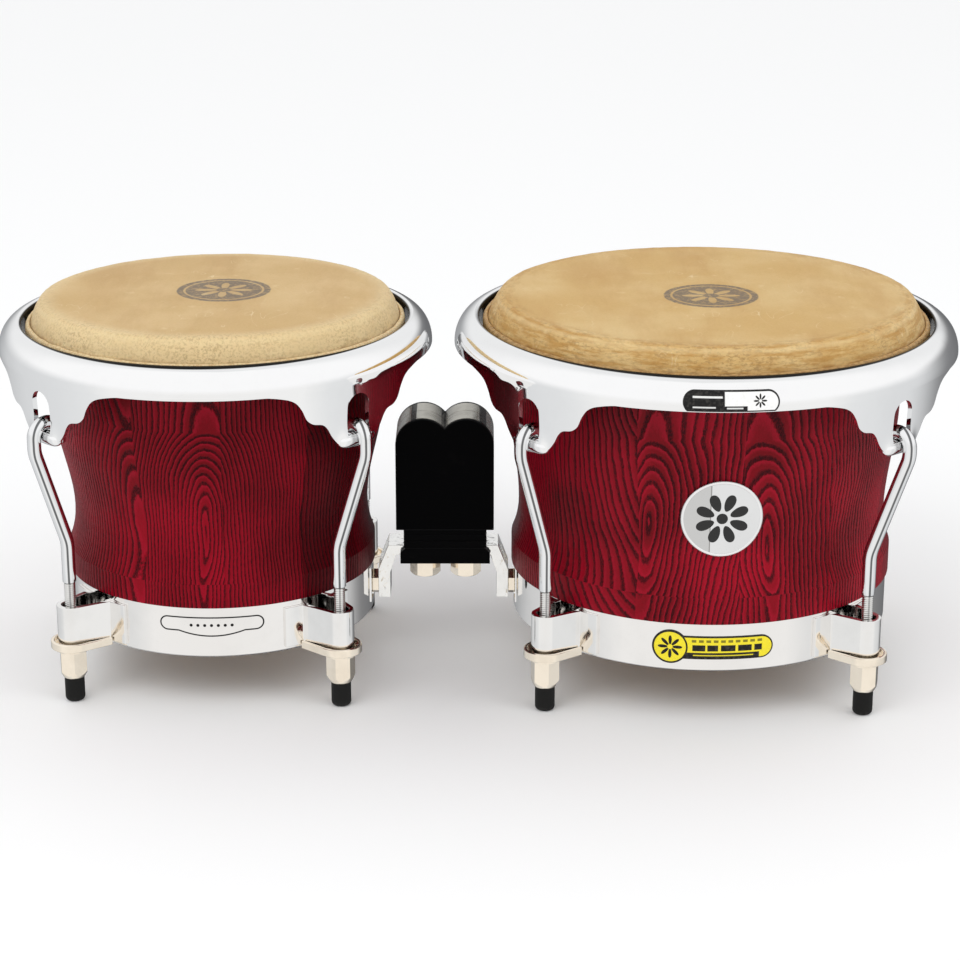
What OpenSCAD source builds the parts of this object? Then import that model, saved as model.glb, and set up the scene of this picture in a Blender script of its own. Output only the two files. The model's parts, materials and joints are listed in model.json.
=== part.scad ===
// Pair of bongo drums: two wooden shells with tucked skin heads, chromed
// counterhoops drawn down by hooked tuning rods, steel bottom rings with lug
// brackets, and a centre block whose two arms bolt to the bottom rings.
// +X runs from the small drum to the large one, +Z is up, the player is at -Y.
// Origin: middle of the footprint, on the floor under the rubber feet. Units mm.

/* [Small drum] */
// radius of the playing edge under the small skin
small_edge_r = 82.3; // [70:0.1:95]
// greatest radius of the small counterhoop
small_rim_r = 103.5; // [90:0.1:115]
// opening radius of the small counterhoop
small_rim_open_r = 92.3; // [80:0.1:100]
// radius of the small shell at its waist
small_waist_r = 71.2; // [60:0.1:85]
// radius of the small shell where the upper band starts
small_upper_r = 80; // [65:0.1:95]
// radius of the small shell's bottom band
small_band_r = 74.7; // [62:0.1:90]
// outer radius of the small bottom ring
small_ring_r = 73.9; // [60:0.1:90]
// distance of the small drum's rods from its axis at the bracket
small_rod_r = 90.2; // [80:0.1:105]
// how far the small drum is turned about its axis, degrees
small_turn = -2.8; // [-10:0.1:10]

/* [Large drum] */
// radius of the playing edge under the large skin
large_edge_r = 97.8; // [85:0.1:115]
// greatest radius of the large counterhoop
large_rim_r = 120.25; // [105:0.05:135]
// opening radius of the large counterhoop
large_rim_open_r = 108.5; // [95:0.1:118]
// radius of the large shell at its waist
large_waist_r = 88.95; // [75:0.05:105]
// radius of the large shell where the upper band starts
large_upper_r = 94.2; // [80:0.1:110]
// radius of the large shell's bottom band
large_band_r = 92.5; // [80:0.1:105]
// outer radius of the large bottom ring
large_ring_r = 91.4; // [78:0.1:104]
// distance of the large drum's rods from its axis at the bracket
large_rod_r = 105.9; // [95:0.1:120]
// how far the large drum is turned about its axis, degrees
large_turn = -1.9; // [-10:0.1:10]

/* [Layout] */
// distance of the small drum's axis from the origin
small_x = 125.65; // [110:0.05:150]
// distance of the large drum's axis from the origin
large_x = 108.85; // [95:0.05:130]
// position of the centre block along X
block_x = -16.2; // [-40:0.1:20]
// height of the playing edge of both shells
edge_z = 183.1; // [150:0.1:220]
// height of the bottom face of both rings
ring_z = 26.8; // [20:0.1:40]
// height of the top of the small drum's ring
small_ring_top_z = 51.6; // [49.8:0.1:60]
// height of the top of the large drum's ring
large_ring_top_z = 50.4; // [49.8:0.1:60]

/* [Hardware] */
// thickness of the pressed steel of hoops, rings and brackets
steel = 2.3; // [1.5:0.1:4]
// radius of a tuning rod's shank
rod_rad = 3.2; // [2.5:0.1:5]
// radius of a tuning rod's threaded end
thread_rad = 2.7; // [2:0.1:4]
// slope of a tuning rod between its two bends, degrees
rod_slope = 20; // [5:1:35]
// height of the lower bend of the tuning rods
rod_bend_z = 80; // [65:0.5:100]
// bend radius of a rod's hook
hook_r = 6.8; // [5:0.1:9]
// height of the rolled lip the hooks hang on
lip_z = 134.3; // [125:0.1:145]
// how far the ears of both hoops are turned about the drum axes, degrees
ear_turn = -1.1; // [-6:0.1:6]
// width of the slots the hooks pass through
slot_w = 13; // [9:0.5:16]
// width across the flats of a tuning nut
nut_flats = 12; // [10:0.5:17]
// thickness of the skins
skin_t = 1.2; // [0.6:0.1:2.5]

/* [Block] */
// half the width of the centre block
block_half = 23.8; // [15:0.1:35]
// half the depth of the centre block
block_depth = 15; // [10:0.1:25]
// height of the underside of the centre block
block_low = 69.3; // [60:0.1:90]
// height of the crowns of the centre block's two lobes
block_top = 125.8; // [100:0.1:150]

/* [Hidden] */
// node to draw
$fn = 96;
gap = 0.05;             // running clearance

hoop_top = 168.4;       // flesh hoop, top face
nut_top = 27.3;         // where the nuts bear on the cup plates
nut_low = 12.2;         // bottom of the nuts, top of the feet
stud_z = 37.8;
stud_r = 3;
pad_t = 3.4;            // mount plate thickness
pad_inset = 0.6;        // mount plate's outer face, in from the ring's outer radius
pad_half = 13.4;        // half the mount plate's width
pad_low = 31.3;
pad_h = 17.8;
spacer_t = 3.3;         // mount nut, between mount plate and arm

neck_low = 59.4;        // underside of the saddle, top of the clamp plate
clamp_low = 51.3;
arm_half = 9;           // half an arm's width
arm_in = 4.5;           // inner end of an arm, from the block's middle
arm_flat_t = 5;         // thickness of an arm's flat end
bolt_x = 10;            // bolts, from the block's middle
bolt_r = 4;
bolt_hole_r = 4.3;

wood_red = [0.55, 0.05, 0.12];
small_hide = [0.83, 0.7, 0.5];
large_hide = [0.83, 0.7, 0.45];
hoop_grey = [0.6, 0.6, 0.62];
chrome = [0.85, 0.86, 0.88];
ring_chrome = [0.85, 0.84, 0.82];
bracket_chrome = [0.85, 0.85, 0.86];
rod_steel = [0.8, 0.8, 0.82];
stud_steel = [0.75, 0.75, 0.77];
badge_steel = [0.75, 0.76, 0.78];
pin_steel = [0.6, 0.6, 0.6];
warm_plating = [0.85, 0.8, 0.7];
bolt_plating = [0.8, 0.75, 0.62];
rubber = [0.08, 0.08, 0.08];
label_black = [0.1, 0.1, 0.1];
label_yellow = [0.85, 0.75, 0.1];
block_grey = [0.7, 0.68, 0.63];
cover_black = [0.03, 0.03, 0.03];
clamp_black = [0.04, 0.04, 0.04];

// ---------- placing ----------
// Drum parts are drawn about their drum's axis, arms about the block's middle.
// What joins a drum to the block is drawn on the drum's +X side.
module on_small()
    translate([-small_x, 0, 0]) children();

module on_large()
    translate([large_x, 0, 0]) children();

module on_large_mirrored()
    on_large() mirror([1, 0, 0]) children();

module on_block()
    translate([block_x, 0, 0]) children();

// corner 1 is right and front; the others follow clockwise seen from above
module at_corner(turn, n)
    rotate([0, 0, turn + 45 - 90 * n]) children();

module at_corners(turn)
    for (n = [1:4]) at_corner(turn, n) children();

// lays a Z cylinder along the stud, starting at x
module along_stud(x)
    translate([x, 0, stud_z]) rotate([0, 90, 0]) children();

// stands an outline up in X and Z, from y_back forward by depth
module upright(y_back, depth)
    translate([0, y_back, 0]) rotate([90, 0, 0]) linear_extrude(depth) children();

// box centred on the Z axis, half = half its width and depth
module box(half, low, height)
    translate([-half.x, -half.y, low]) cube([2 * half.x, 2 * half.y, height]);

// ---------- shell ----------
band_top_z = 63.5;
waist_z = 82;
upper_z = 136;          // where the upper band starts
wall_heights = [65, 67, 69.5, 73, 77, 82, 87, 92, 98, 104, 110, 116, 122, 128, 132, 136];

function ease(t) = t * t * (3 - 2 * t);

// outer radius of a shell at height z: band, cove, waist, cove, upper band, edge
function shell_r(z, edge_r, upper_r, waist_r, band_r) =
    z > upper_z ? upper_r + (edge_r - upper_r) * (z - upper_z) / (edge_z - upper_z)
    : z > waist_z ? waist_r + (upper_r - waist_r) * ease((z - waist_z) / (upper_z - waist_z))
    : z > band_top_z
        ? waist_r + (band_r - waist_r) * pow((waist_z - z) / (waist_z - band_top_z), 2.2)
    : band_r;

// [radius, z] points at a distance out from the shell's outer face
function wall_points(heights, out, edge_r, upper_r, waist_r, band_r) =
    [for (z = heights) [shell_r(z, edge_r, upper_r, waist_r, band_r) + out, z]];

module shell_section(edge_r, upper_r, waist_r, band_r, ring_r, ring_top_z)
{
    inner_low_r = ring_r - 12.3;
    inner_top_r = edge_r - 10.8;
    seat_r = ring_r - steel - 0.1;      // the foot of the shell stands inside the ring
    polygon(concat(
        [[inner_low_r, ring_z + steel], [seat_r, ring_z + steel],
         [seat_r, ring_top_z], [band_r, ring_top_z], [band_r, band_top_z]],
        wall_points(concat(wall_heights, [edge_z - 3]), 0, edge_r, upper_r, waist_r, band_r),
        [[edge_r - 0.6, edge_z - 1.2], [edge_r - 1.8, edge_z - 0.25], [edge_r - 3.3, edge_z],
         [edge_r - 4.8, edge_z - 0.5], [inner_top_r, edge_z - 7]]));
}

// pocket for the mount plate and the end of its stud, at the bottom of a shell
module pad_pocket(ring_r)
{
    pad_in = ring_r - pad_inset - pad_t;
    side = pad_half + 0.3;
    translate([pad_in - 0.1, -side, 0]) cube([20, 2 * side, pad_low + pad_h + 0.5]);
    along_stud(pad_in - 1.5) cylinder(r = stud_r + 0.6, h = 6);
}

module shell(edge_r, upper_r, waist_r, band_r, ring_r, ring_top_z)
{
    difference()
    {
        rotate_extrude() shell_section(edge_r, upper_r, waist_r, band_r, ring_r, ring_top_z);
        pad_pocket(ring_r);
    }
}

// ---------- head ----------
module skin(edge_r, open_r)
{
    ride_z = edge_z + gap;
    bead_r = open_r - 3.4;              // middle of the rolled edge of the skin
    rotate_extrude() polygon([
        // underside, from the axis out over the edge and down
        [0, ride_z + 0.6], [edge_r - 6, ride_z + 0.05], [edge_r - 3.3, ride_z],
        [edge_r - 1.6, ride_z - 0.2], [edge_r - 0.2, ride_z - 1.0], [edge_r + 1.2, ride_z - 3.2],
        // rolled edge, standing on the flesh hoop
        [bead_r - 2.0, hoop_top + 3.4], [bead_r - 2.0, hoop_top],
        [bead_r + 1.6, hoop_top], [bead_r + 1.6, hoop_top + 3.4],
        [bead_r + 0.8, hoop_top + 5.0], [bead_r - 0.6, hoop_top + 5.0],
        // top face, back to the axis
        [edge_r + 2.8, ride_z - 2.4], [edge_r + 1.0, ride_z + 0.5],
        [edge_r - 1.0, ride_z + skin_t], [edge_r - 4, ride_z + skin_t + 0.15],
        [0, ride_z + 0.6 + skin_t]]);
}

flesh_w = 8;
flesh_h = 6;

module flesh_hoop(open_r)
{
    rotate_extrude() translate([open_r - 4.8, hoop_top - flesh_h]) square([flesh_w, flesh_h]);
}

// ---------- counterhoop ----------
skirt_low = 160.8;      // lower edge of the hoops between the ears
shoulder_z = 161.2;     // height where the hoops are widest
shoulder_h = 13.4;      // rise of their rounded shoulder
ear_low_z = 128;        // height range the ears are cut from
ear_high_z = 162.5;
lip_half = 9.5;         // half the length of the rolled lip
slot_rise = 3;          // bottom and top of the slot above the lip
slot_top = 22;

// outside radius of an ear at height z, leaning in 2.2 over a drop of 33
function ear_r(z, rim_r) = rim_r - 2.2 * (162 - z) / 33;

// middle of an ear's thickness at the lip
function lip_mid(rim_r) = ear_r(lip_z, rim_r) - steel / 2;

// [radius, z] points of the elliptical shoulder, moved outwards by out
function shoulder(rim_r, open_r, out, angles) =
    let (half_w = rim_r - open_r - 0.9)
    [for (t = angles)
        [rim_r - half_w + (half_w + out) * cos(t), shoulder_z + (shoulder_h + out) * sin(t)]];

module hoop_section(rim_r, open_r)
{
    polygon(concat(
        [[open_r, hoop_top], [open_r, hoop_top + 5.0]],
        shoulder(rim_r, open_r, 0, [84, 75, 66, 57, 48, 39, 30, 20, 10, 0]),
        [[rim_r - 0.1, skirt_low], [rim_r - steel, skirt_low]],
        shoulder(rim_r, open_r, -steel, [0, 12, 25, 38, 52, 66]),
        [[open_r + steel + 0.2, hoop_top + 2.6], [open_r + steel, hoop_top]]));
}

// half of an ear's outline, from the skirt down to the lip: [distance from middle, z]
ear_side = [
    [48, 163], [44, 160.6], [39.5, 159.7], [35.5, 158.5], [32.2, 156.3],
    [29.4, 152.2], [27.6, 148.2], [24.4, 145.6], [19.6, 144.6], [17, 142.2],
    [14.8, 138.4], [12, 134.8], [9.4, 132.4], [3, 131.6]];

module ear_outline()
{
    polygon(concat(ear_side,
        [for (i = [len(ear_side) - 1 : -1 : 0]) [-ear_side[i].x, ear_side[i].y]]));
}

// thin cone that all four ears are cut from
module ear_cone(rim_r)
{
    low_r = ear_r(ear_low_z, rim_r);
    high_r = ear_r(ear_high_z, rim_r);
    rotate_extrude() polygon([[low_r, ear_low_z], [high_r, ear_high_z],
        [high_r - steel, ear_high_z], [low_r - steel, ear_low_z]]);
}

// round-topped slot through an ear
module ear_slot(rim_r)
{
    round_z = slot_top - slot_w / 2;
    translate([rim_r - 14, 0, lip_z])
    {
        translate([0, -slot_w / 2, slot_rise]) cube([20, slot_w, round_z - slot_rise]);
        translate([0, 0, round_z]) rotate([0, 90, 0]) cylinder(r = slot_w / 2, h = 20);
    }
}

module rim(rim_r, open_r)
{
    difference()
    {
        union()
        {
            rotate_extrude() hoop_section(rim_r, open_r);
            intersection()
            {
                ear_cone(rim_r);
                at_corners(ear_turn) rotate([90, 0, 90])
                    translate([0, 0, rim_r - 26]) linear_extrude(30) ear_outline();
            }
            // rolled lips
            at_corners(ear_turn) translate([lip_mid(rim_r), lip_half, lip_z]) rotate([90, 0, 0])
                cylinder(r = hook_r - rod_rad - 0.2, h = 2 * lip_half);
        }
        at_corners(ear_turn) ear_slot(rim_r);
    }
}

// ---------- tuning rods ----------
thread_low = 18.2;
shank_low = 59.6;
hook_tail = 4.6;        // straight end of the hook, below the lip's height
bend_r = rod_rad + 0.1; // ball that fills each bend

// one rod: threaded end, shank, lower bend, slope, upper bend, hook over the lip;
// twist = how far the hook's ear is turned from the bracket below it
module rod(rod_r, rim_r, twist)
{
    leg_r = lip_mid(rim_r) + hook_r;    // distance of the hook's outer leg from the drum axis
    tail_r = leg_r - 2 * hook_r;
    across = [leg_r * cos(twist) - rod_r, leg_r * sin(twist)];
    slope_len = norm(across) / sin(rod_slope);
    upper_bend_z = rod_bend_z + slope_len * cos(rod_slope);
    union()
    {
        translate([rod_r, 0, thread_low])
            cylinder(r = thread_rad, h = shank_low + 0.1 - thread_low);
        translate([rod_r, 0, shank_low]) cylinder(r = rod_rad, h = rod_bend_z - shank_low);
        translate([rod_r, 0, rod_bend_z]) sphere(r = bend_r);
        translate([rod_r, 0, rod_bend_z]) rotate([0, rod_slope, atan2(across.y, across.x)])
            cylinder(r = rod_rad, h = slope_len);
        rotate([0, 0, twist])
        {
            translate([leg_r, 0, upper_bend_z]) sphere(r = bend_r);
            translate([leg_r, 0, upper_bend_z]) cylinder(r = rod_rad, h = lip_z - upper_bend_z);
            translate([leg_r, 0, lip_z]) sphere(r = bend_r);
            translate([leg_r - hook_r, 0, lip_z]) rotate([90, 0, 0])
                rotate_extrude(angle = 180) translate([hook_r, 0]) circle(r = rod_rad);
            translate([tail_r, 0, lip_z]) sphere(r = bend_r);
            translate([tail_r, 0, lip_z - hook_tail]) cylinder(r = rod_rad, h = hook_tail);
        }
    }
}

module tuning_rods(rod_r, rim_r, turn)
{
    at_corners(turn) rod(rod_r, rim_r, ear_turn - turn);
}

// ---------- bottom ring ----------
ring_flange = 8.5;      // width of the ring's inward flange, outer wall included
ring_chamfer = 0.8;

module bottom_ring(ring_r, ring_top_z)
{
    side = pad_half + 0.1;
    difference()
    {
        rotate_extrude() polygon([
            [ring_r - ring_flange, ring_z], [ring_r - ring_chamfer, ring_z],
            [ring_r, ring_z + ring_chamfer], [ring_r, ring_top_z],
            [ring_r - steel, ring_top_z], [ring_r - steel, ring_z + steel],
            [ring_r - ring_flange, ring_z + steel]]);
        // window for the mount plate
        translate([ring_r - 10, -side, pad_low - 0.1]) cube([20, 2 * side, pad_h + 0.2]);
    }
}

// ---------- brackets and cup plates ----------
cup_floor_t = 1.7;
cup_h = 3.8;
cup_nose_r = 10.2;
cup_lip_t = 1.6;
cup_flare = 6;          // degrees
bracket_low = nut_top + cup_floor_t;
bracket_top = 48.6;
bracket_nose_r = 6.7;
bracket_flare = 12;     // degrees
wing_in = 6.5;          // start of a bracket's wings, from its middle
wing_w = 12.5;
wing_t = 1.8;

// plan of a bracket or cup plate: round nose on the rod, two walls flaring to the drum
module nose_plan(rod_r, nose_r, flare)
{
    reach = 40;
    near = [rod_r + nose_r * sin(flare), nose_r * cos(flare)];
    far = near + reach * [-cos(flare), sin(flare)];
    union()
    {
        translate([rod_r, 0]) circle(r = nose_r);
        polygon([near, far, [far.x, -far.y], [near.x, -near.y]]);
    }
}

module bracket(rod_r, ring_r)
{
    translate([0, 0, bracket_low]) linear_extrude(bracket_top - bracket_low) difference()
    {
        union()
        {
            difference()
            {
                nose_plan(rod_r, bracket_nose_r, bracket_flare);
                nose_plan(rod_r, bracket_nose_r - steel, bracket_flare);
            }
            // wings lying against the ring
            intersection()
            {
                difference()
                {
                    circle(r = ring_r + wing_t);
                    circle(r = ring_r - 3);
                }
                union() for (y = [-wing_in - wing_w, wing_in])
                    translate([ring_r - 8, y]) square([14, wing_w]);
            }
        }
        circle(r = ring_r);
    }
}

module cup_plate(rod_r, ring_r)
{
    ring_clear_r = ring_r + 2.4;
    difference()
    {
        union()
        {
            translate([0, 0, nut_top]) linear_extrude(cup_floor_t) difference()
            {
                nose_plan(rod_r, cup_nose_r, cup_flare);
                circle(r = ring_clear_r);
            }
            translate([0, 0, nut_top]) linear_extrude(cup_h) difference()
            {
                nose_plan(rod_r, cup_nose_r, cup_flare);
                nose_plan(rod_r, cup_nose_r - cup_lip_t, cup_flare);
                circle(r = ring_clear_r);
            }
        }
        translate([rod_r, 0, nut_top - 1]) cylinder(r = 3.4, h = 6);
    }
}

// ---------- tuning nuts and feet ----------
nut_h = 14.2;           // hexagonal part
nut_tip_r = 5.1;        // bottom of the cone that rounds off the hexagon
nut_flange_r = 7.3;
nut_flange_t = 1.8;
foot_r = 4.7;
foot_round = 2.1;
foot_peg_r = 2.65;
foot_peg_h = 0.4;       // how far the peg stands into the nut

module tuning_nut(rod_r, turn, n)
{
    at_corner(turn, n) translate([rod_r, 0, 0]) difference()
    {
        union()
        {
            intersection()
            {
                translate([0, 0, nut_low]) cylinder(r = nut_flats / sqrt(3), h = nut_h, $fn = 6);
                translate([0, 0, nut_low])
                    cylinder(r1 = nut_tip_r, r2 = nut_tip_r + nut_h * 0.55, h = nut_h);
            }
            translate([0, 0, nut_top - nut_flange_t]) cylinder(r = nut_flange_r, h = nut_flange_t);
        }
        translate([0, 0, nut_low - 1]) cylinder(r = thread_rad + gap, h = 20);
    }
}

module foot(rod_r, turn, n)
{
    core_r = foot_r - foot_round;
    at_corner(turn, n) translate([rod_r, 0, 0]) rotate_extrude() union()
    {
        square([core_r, 3]);
        translate([0, foot_round]) square([foot_r, nut_low - foot_round]);
        intersection()
        {
            translate([core_r, foot_round]) circle(r = foot_round);
            square([5, 3]);
        }
        square([foot_peg_r, nut_low + foot_peg_h]);
    }
}

// ---------- where an arm meets a ring ----------
module mount_plate(ring_r)
{
    difference()
    {
        translate([ring_r - pad_inset - pad_t, -pad_half, pad_low])
            cube([pad_t, 2 * pad_half, pad_h]);
        along_stud(ring_r - 8) cylinder(r = stud_r + gap, h = 12);
    }
}

module mount_stud(ring_r)
{
    along_stud(ring_r - pad_inset - pad_t) cylinder(r = stud_r, h = pad_t + spacer_t + 4.6);
}

module mount_nut(ring_r)
{
    along_stud(ring_r - pad_inset) difference()
    {
        cylinder(r = 11 / sqrt(3), h = spacer_t, $fn = 6);
        translate([0, 0, -1]) cylinder(r = stud_r + gap, h = 6);
    }
}

arm_t = 5.8;            // thickness of an arm's upright end

// an arm's outer face from the block's middle, for a drum axis at distance axis_x
function arm_out(axis_x, ring_r) = axis_x - (ring_r - pad_inset) - spacer_t;

// arm reaching +X from the block to a stud
module arm(out)
{
    low = 32.4;
    difference()
    {
        upright(arm_half, 2 * arm_half) polygon([
            [out, low], [out, 46.8], [out - 4.9, neck_low], [arm_in, neck_low],
            [arm_in, neck_low - arm_flat_t], [out - arm_t - 3.0, neck_low - arm_flat_t],
            [out - arm_t, 45.4], [out - arm_t, low]]);
        translate([bolt_x, 0, neck_low - 8]) cylinder(r = bolt_hole_r, h = 12);
        along_stud(out - 4.8) cylinder(r = stud_r + gap, h = 8);
    }
}

// ---------- badge and labels ----------
badge_heights = [78, 82, 87, 92, 98, 104, 110, 116, 122, 126];
badge_heights_down = [for (i = [len(badge_heights) - 1 : -1 : 0]) badge_heights[i]];

function badge_points(heights, out) =
    wall_points(heights, out, large_edge_r, large_upper_r, large_waist_r, large_band_r);

// thin round plate bent to the large shell
module badge()
{
    intersection()
    {
        rotate_extrude() polygon(concat(
            badge_points(badge_heights, 0.15), badge_points(badge_heights_down, 1.15)));
        rotate([0, 0, 1.3]) translate([0, -80, 101.8]) rotate([90, 0, 0])
            cylinder(r = 18.8, h = 30);
    }
}

// stadium outline, given as half its length and half its height
module pill(half, high)
{
    union()
    {
        translate([-half + high, -high]) square([2 * (half - high), 2 * high]);
        for (s = [-1, 1]) translate([s * (half - high), 0]) circle(r = high);
    }
}

// thin stadium plate on the shoulder of the large counterhoop
module rim_label()
{
    intersection()
    {
        rotate_extrude() intersection()
        {
            translate([large_rim_r + 0.35, shoulder_z]) square([30, 30], center = true);
            polygon(concat(
                shoulder(large_rim_r, large_rim_open_r, 0.08, [60, 52, 44, 36, 27, 18, 9, 0]),
                shoulder(large_rim_r, large_rim_open_r, 0.42, [0, 9, 18, 27, 36, 44, 52, 60])));
        }
        rotate([0, 0, 0.9]) translate([0, 0, 165.2]) upright(-95, 40) pill(21.3, 5.2);
    }
}

// thin stadium with a larger disc near its left end, on the large ring
module ring_label()
{
    intersection()
    {
        difference()
        {
            cylinder(r = large_ring_r + 0.5, h = 60);
            translate([0, 0, -1]) cylinder(r = large_ring_r + 0.1, h = 62);
        }
        rotate([0, 0, -0.3]) translate([0, 0, 38.6]) upright(-80, 30) union()
        {
            translate([3, 0]) pill(25.2, 5.6);
            translate([-19.6, 0]) circle(r = 8.2);
        }
    }
}

// ---------- centre block ----------
lobe_r = 13.4;
lobe_z = block_top - lobe_r;        // centres of the lobes
bridge_half = 8;                    // raised floor between the lobes
cover_t = 2;
plate_y = block_depth - cover_t;    // where plates and covers meet, either side
seam = 0.1;                         // half the space between the two plates
pin_x = 8;
pin_z = 87;
pin_r = 2.45;
tenon_half = [16, 7];
tenon_h = 23;
saddle_half = [20.2, 12.6];
groove_h = 0.9;
groove_depth = 0.8;

module block_outline()
{
    union()
    {
        translate([-block_half, block_low]) square([2 * block_half, lobe_z - block_low]);
        for (s = [-1, 1]) translate([s * (block_half - lobe_r), lobe_z]) circle(r = lobe_r);
        translate([-bridge_half, lobe_z - 1]) square([2 * bridge_half, 6]);
    }
}

// slab of the block's outline between two Y values
module block_slab(y_front, y_back)
{
    upright(y_back, y_back - y_front) block_outline();
}

// two cylinders along Y, for the pins and their holes
module pin_pair(r, half_len)
{
    for (s = [-1, 1]) translate([pin_x * s, half_len, pin_z]) rotate([90, 0, 0])
        cylinder(r = r, h = 2 * half_len);
}

module pin_holes()
{
    pin_pair(pin_r + gap, plate_y + 1);
}

// upright tongue of the saddle, grown by clear on its sides and top
module tenon(clear)
{
    box(tenon_half + [clear, clear], block_low - 1, tenon_h + clear);
}

module block_plate(y_front, y_back)
{
    difference()
    {
        block_slab(y_front, y_back);
        tenon(gap);
        pin_holes();
    }
}

module at_bolts(z)
    for (s = [-1, 1]) translate([bolt_x * s, 0, z]) children();

module saddle()
{
    difference()
    {
        union()
        {
            box(saddle_half, neck_low, block_low - neck_low);
            tenon(0);
        }
        // two grooves around the sides
        for (z = [62.6, 66]) difference()
        {
            box([30, 20], z, groove_h);
            box(saddle_half - [groove_depth, groove_depth], z - 1, 3);
        }
        at_bolts(neck_low - 1) cylinder(r = bolt_r + gap, h = 22.5);
        pin_holes();
    }
}

// ---------- clamp under the saddle ----------
clamp_half = [21.9, 13];
clamp_chamfer = 2.6;
washer_t = 1.6;
washer_low = clamp_low - washer_t;
head_h = 7.6;
head_tip_r = 6.4;       // bottom of the cone that rounds off a bolt's head

module clamp_body()
{
    slot_in = arm_in - 0.1;
    slot_side = arm_half + 0.1;
    slot_len = 30;
    shoulder_x = clamp_half.x - clamp_chamfer;
    difference()
    {
        upright(clamp_half.y, 2 * clamp_half.y) polygon([
            [-clamp_half.x, clamp_low], [clamp_half.x, clamp_low],
            [clamp_half.x, neck_low - clamp_chamfer], [shoulder_x, neck_low],
            [-shoulder_x, neck_low], [-clamp_half.x, neck_low - clamp_chamfer]]);
        // seats for the arms
        for (x = [-slot_in - slot_len, slot_in])
            translate([x, -slot_side, neck_low - arm_flat_t]) cube([slot_len, 2 * slot_side, 8]);
        at_bolts(clamp_low - 1) cylinder(r = bolt_hole_r, h = 12);
    }
}

module bolt()
{
    union()
    {
        translate([0, 0, -head_h]) intersection()
        {
            cylinder(r = 13 / sqrt(3), h = head_h, $fn = 6);
            cylinder(r1 = head_tip_r, r2 = head_tip_r + head_h * 1.6, h = head_h);
        }
        translate([0, 0, -2]) cylinder(r = bolt_r, h = 31);
    }
}

module washer()
{
    difference()
    {
        cylinder(r = 8, h = washer_t);
        translate([0, 0, -1]) cylinder(r = bolt_hole_r, h = 4);
    }
}

// ---------- nodes: small drum ----------
module small_shell()
    color(wood_red) on_small() shell(small_edge_r, small_upper_r, small_waist_r,
        small_band_r, small_ring_r, small_ring_top_z);
module small_skin()
    color(small_hide) on_small() skin(small_edge_r, small_rim_open_r);
module small_flesh_hoop()
    color(hoop_grey) on_small() flesh_hoop(small_rim_open_r);
module small_rim()
    color(chrome) on_small() rim(small_rim_r, small_rim_open_r);
module small_tuning_rods()
    color(rod_steel) on_small() tuning_rods(small_rod_r, small_rim_r, small_turn);
module small_bottom_ring()
    color(ring_chrome) on_small() bottom_ring(small_ring_r, small_ring_top_z);
module small_lug_brackets()
    color(bracket_chrome) on_small() at_corners(small_turn) bracket(small_rod_r, small_ring_r);
module small_cup_plates()
    color(warm_plating) on_small() at_corners(small_turn) cup_plate(small_rod_r, small_ring_r);
module small_mount_plate()
    color(rod_steel) on_small() mount_plate(small_ring_r);
module small_mount_stud()
    color(stud_steel) on_small() mount_stud(small_ring_r);
module small_mount_nut()
    color(warm_plating) on_small() mount_nut(small_ring_r);

module small_nut(n)
    color(warm_plating) on_small() tuning_nut(small_rod_r, small_turn, n);
module small_nut_1() small_nut(1);
module small_nut_2() small_nut(2);
module small_nut_3() small_nut(3);
module small_nut_4() small_nut(4);

module small_foot(n)
    color(rubber) on_small() foot(small_rod_r, small_turn, n);
module small_foot_1() small_foot(1);
module small_foot_2() small_foot(2);
module small_foot_3() small_foot(3);
module small_foot_4() small_foot(4);

// ---------- nodes: large drum ----------
module large_shell()
    color(wood_red) on_large_mirrored() shell(large_edge_r, large_upper_r, large_waist_r,
        large_band_r, large_ring_r, large_ring_top_z);
module large_skin()
    color(large_hide) on_large() skin(large_edge_r, large_rim_open_r);
module large_flesh_hoop()
    color(hoop_grey) on_large() flesh_hoop(large_rim_open_r);
module large_rim()
    color(chrome) on_large() rim(large_rim_r, large_rim_open_r);
module large_tuning_rods()
    color(rod_steel) on_large() tuning_rods(large_rod_r, large_rim_r, large_turn);
module large_bottom_ring()
    color(ring_chrome) on_large_mirrored() bottom_ring(large_ring_r, large_ring_top_z);
module large_lug_brackets()
    color(bracket_chrome) on_large() at_corners(large_turn) bracket(large_rod_r, large_ring_r);
module large_cup_plates()
    color(warm_plating) on_large() at_corners(large_turn) cup_plate(large_rod_r, large_ring_r);
module large_mount_plate()
    color(rod_steel) on_large_mirrored() mount_plate(large_ring_r);
module large_mount_stud()
    color(stud_steel) on_large_mirrored() mount_stud(large_ring_r);
module large_mount_nut()
    color(warm_plating) on_large_mirrored() mount_nut(large_ring_r);

module large_nut(n)
    color(warm_plating) on_large() tuning_nut(large_rod_r, large_turn, n);
module large_nut_1() large_nut(1);
module large_nut_2() large_nut(2);
module large_nut_3() large_nut(3);
module large_nut_4() large_nut(4);

module large_foot(n)
    color(rubber) on_large() foot(large_rod_r, large_turn, n);
module large_foot_1() large_foot(1);
module large_foot_2() large_foot(2);
module large_foot_3() large_foot(3);
module large_foot_4() large_foot(4);

module large_badge()
    color(badge_steel) on_large() badge();
module large_rim_label()
    color(label_black) on_large() rim_label();
module large_ring_label()
    color(label_yellow) on_large() ring_label();

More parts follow.
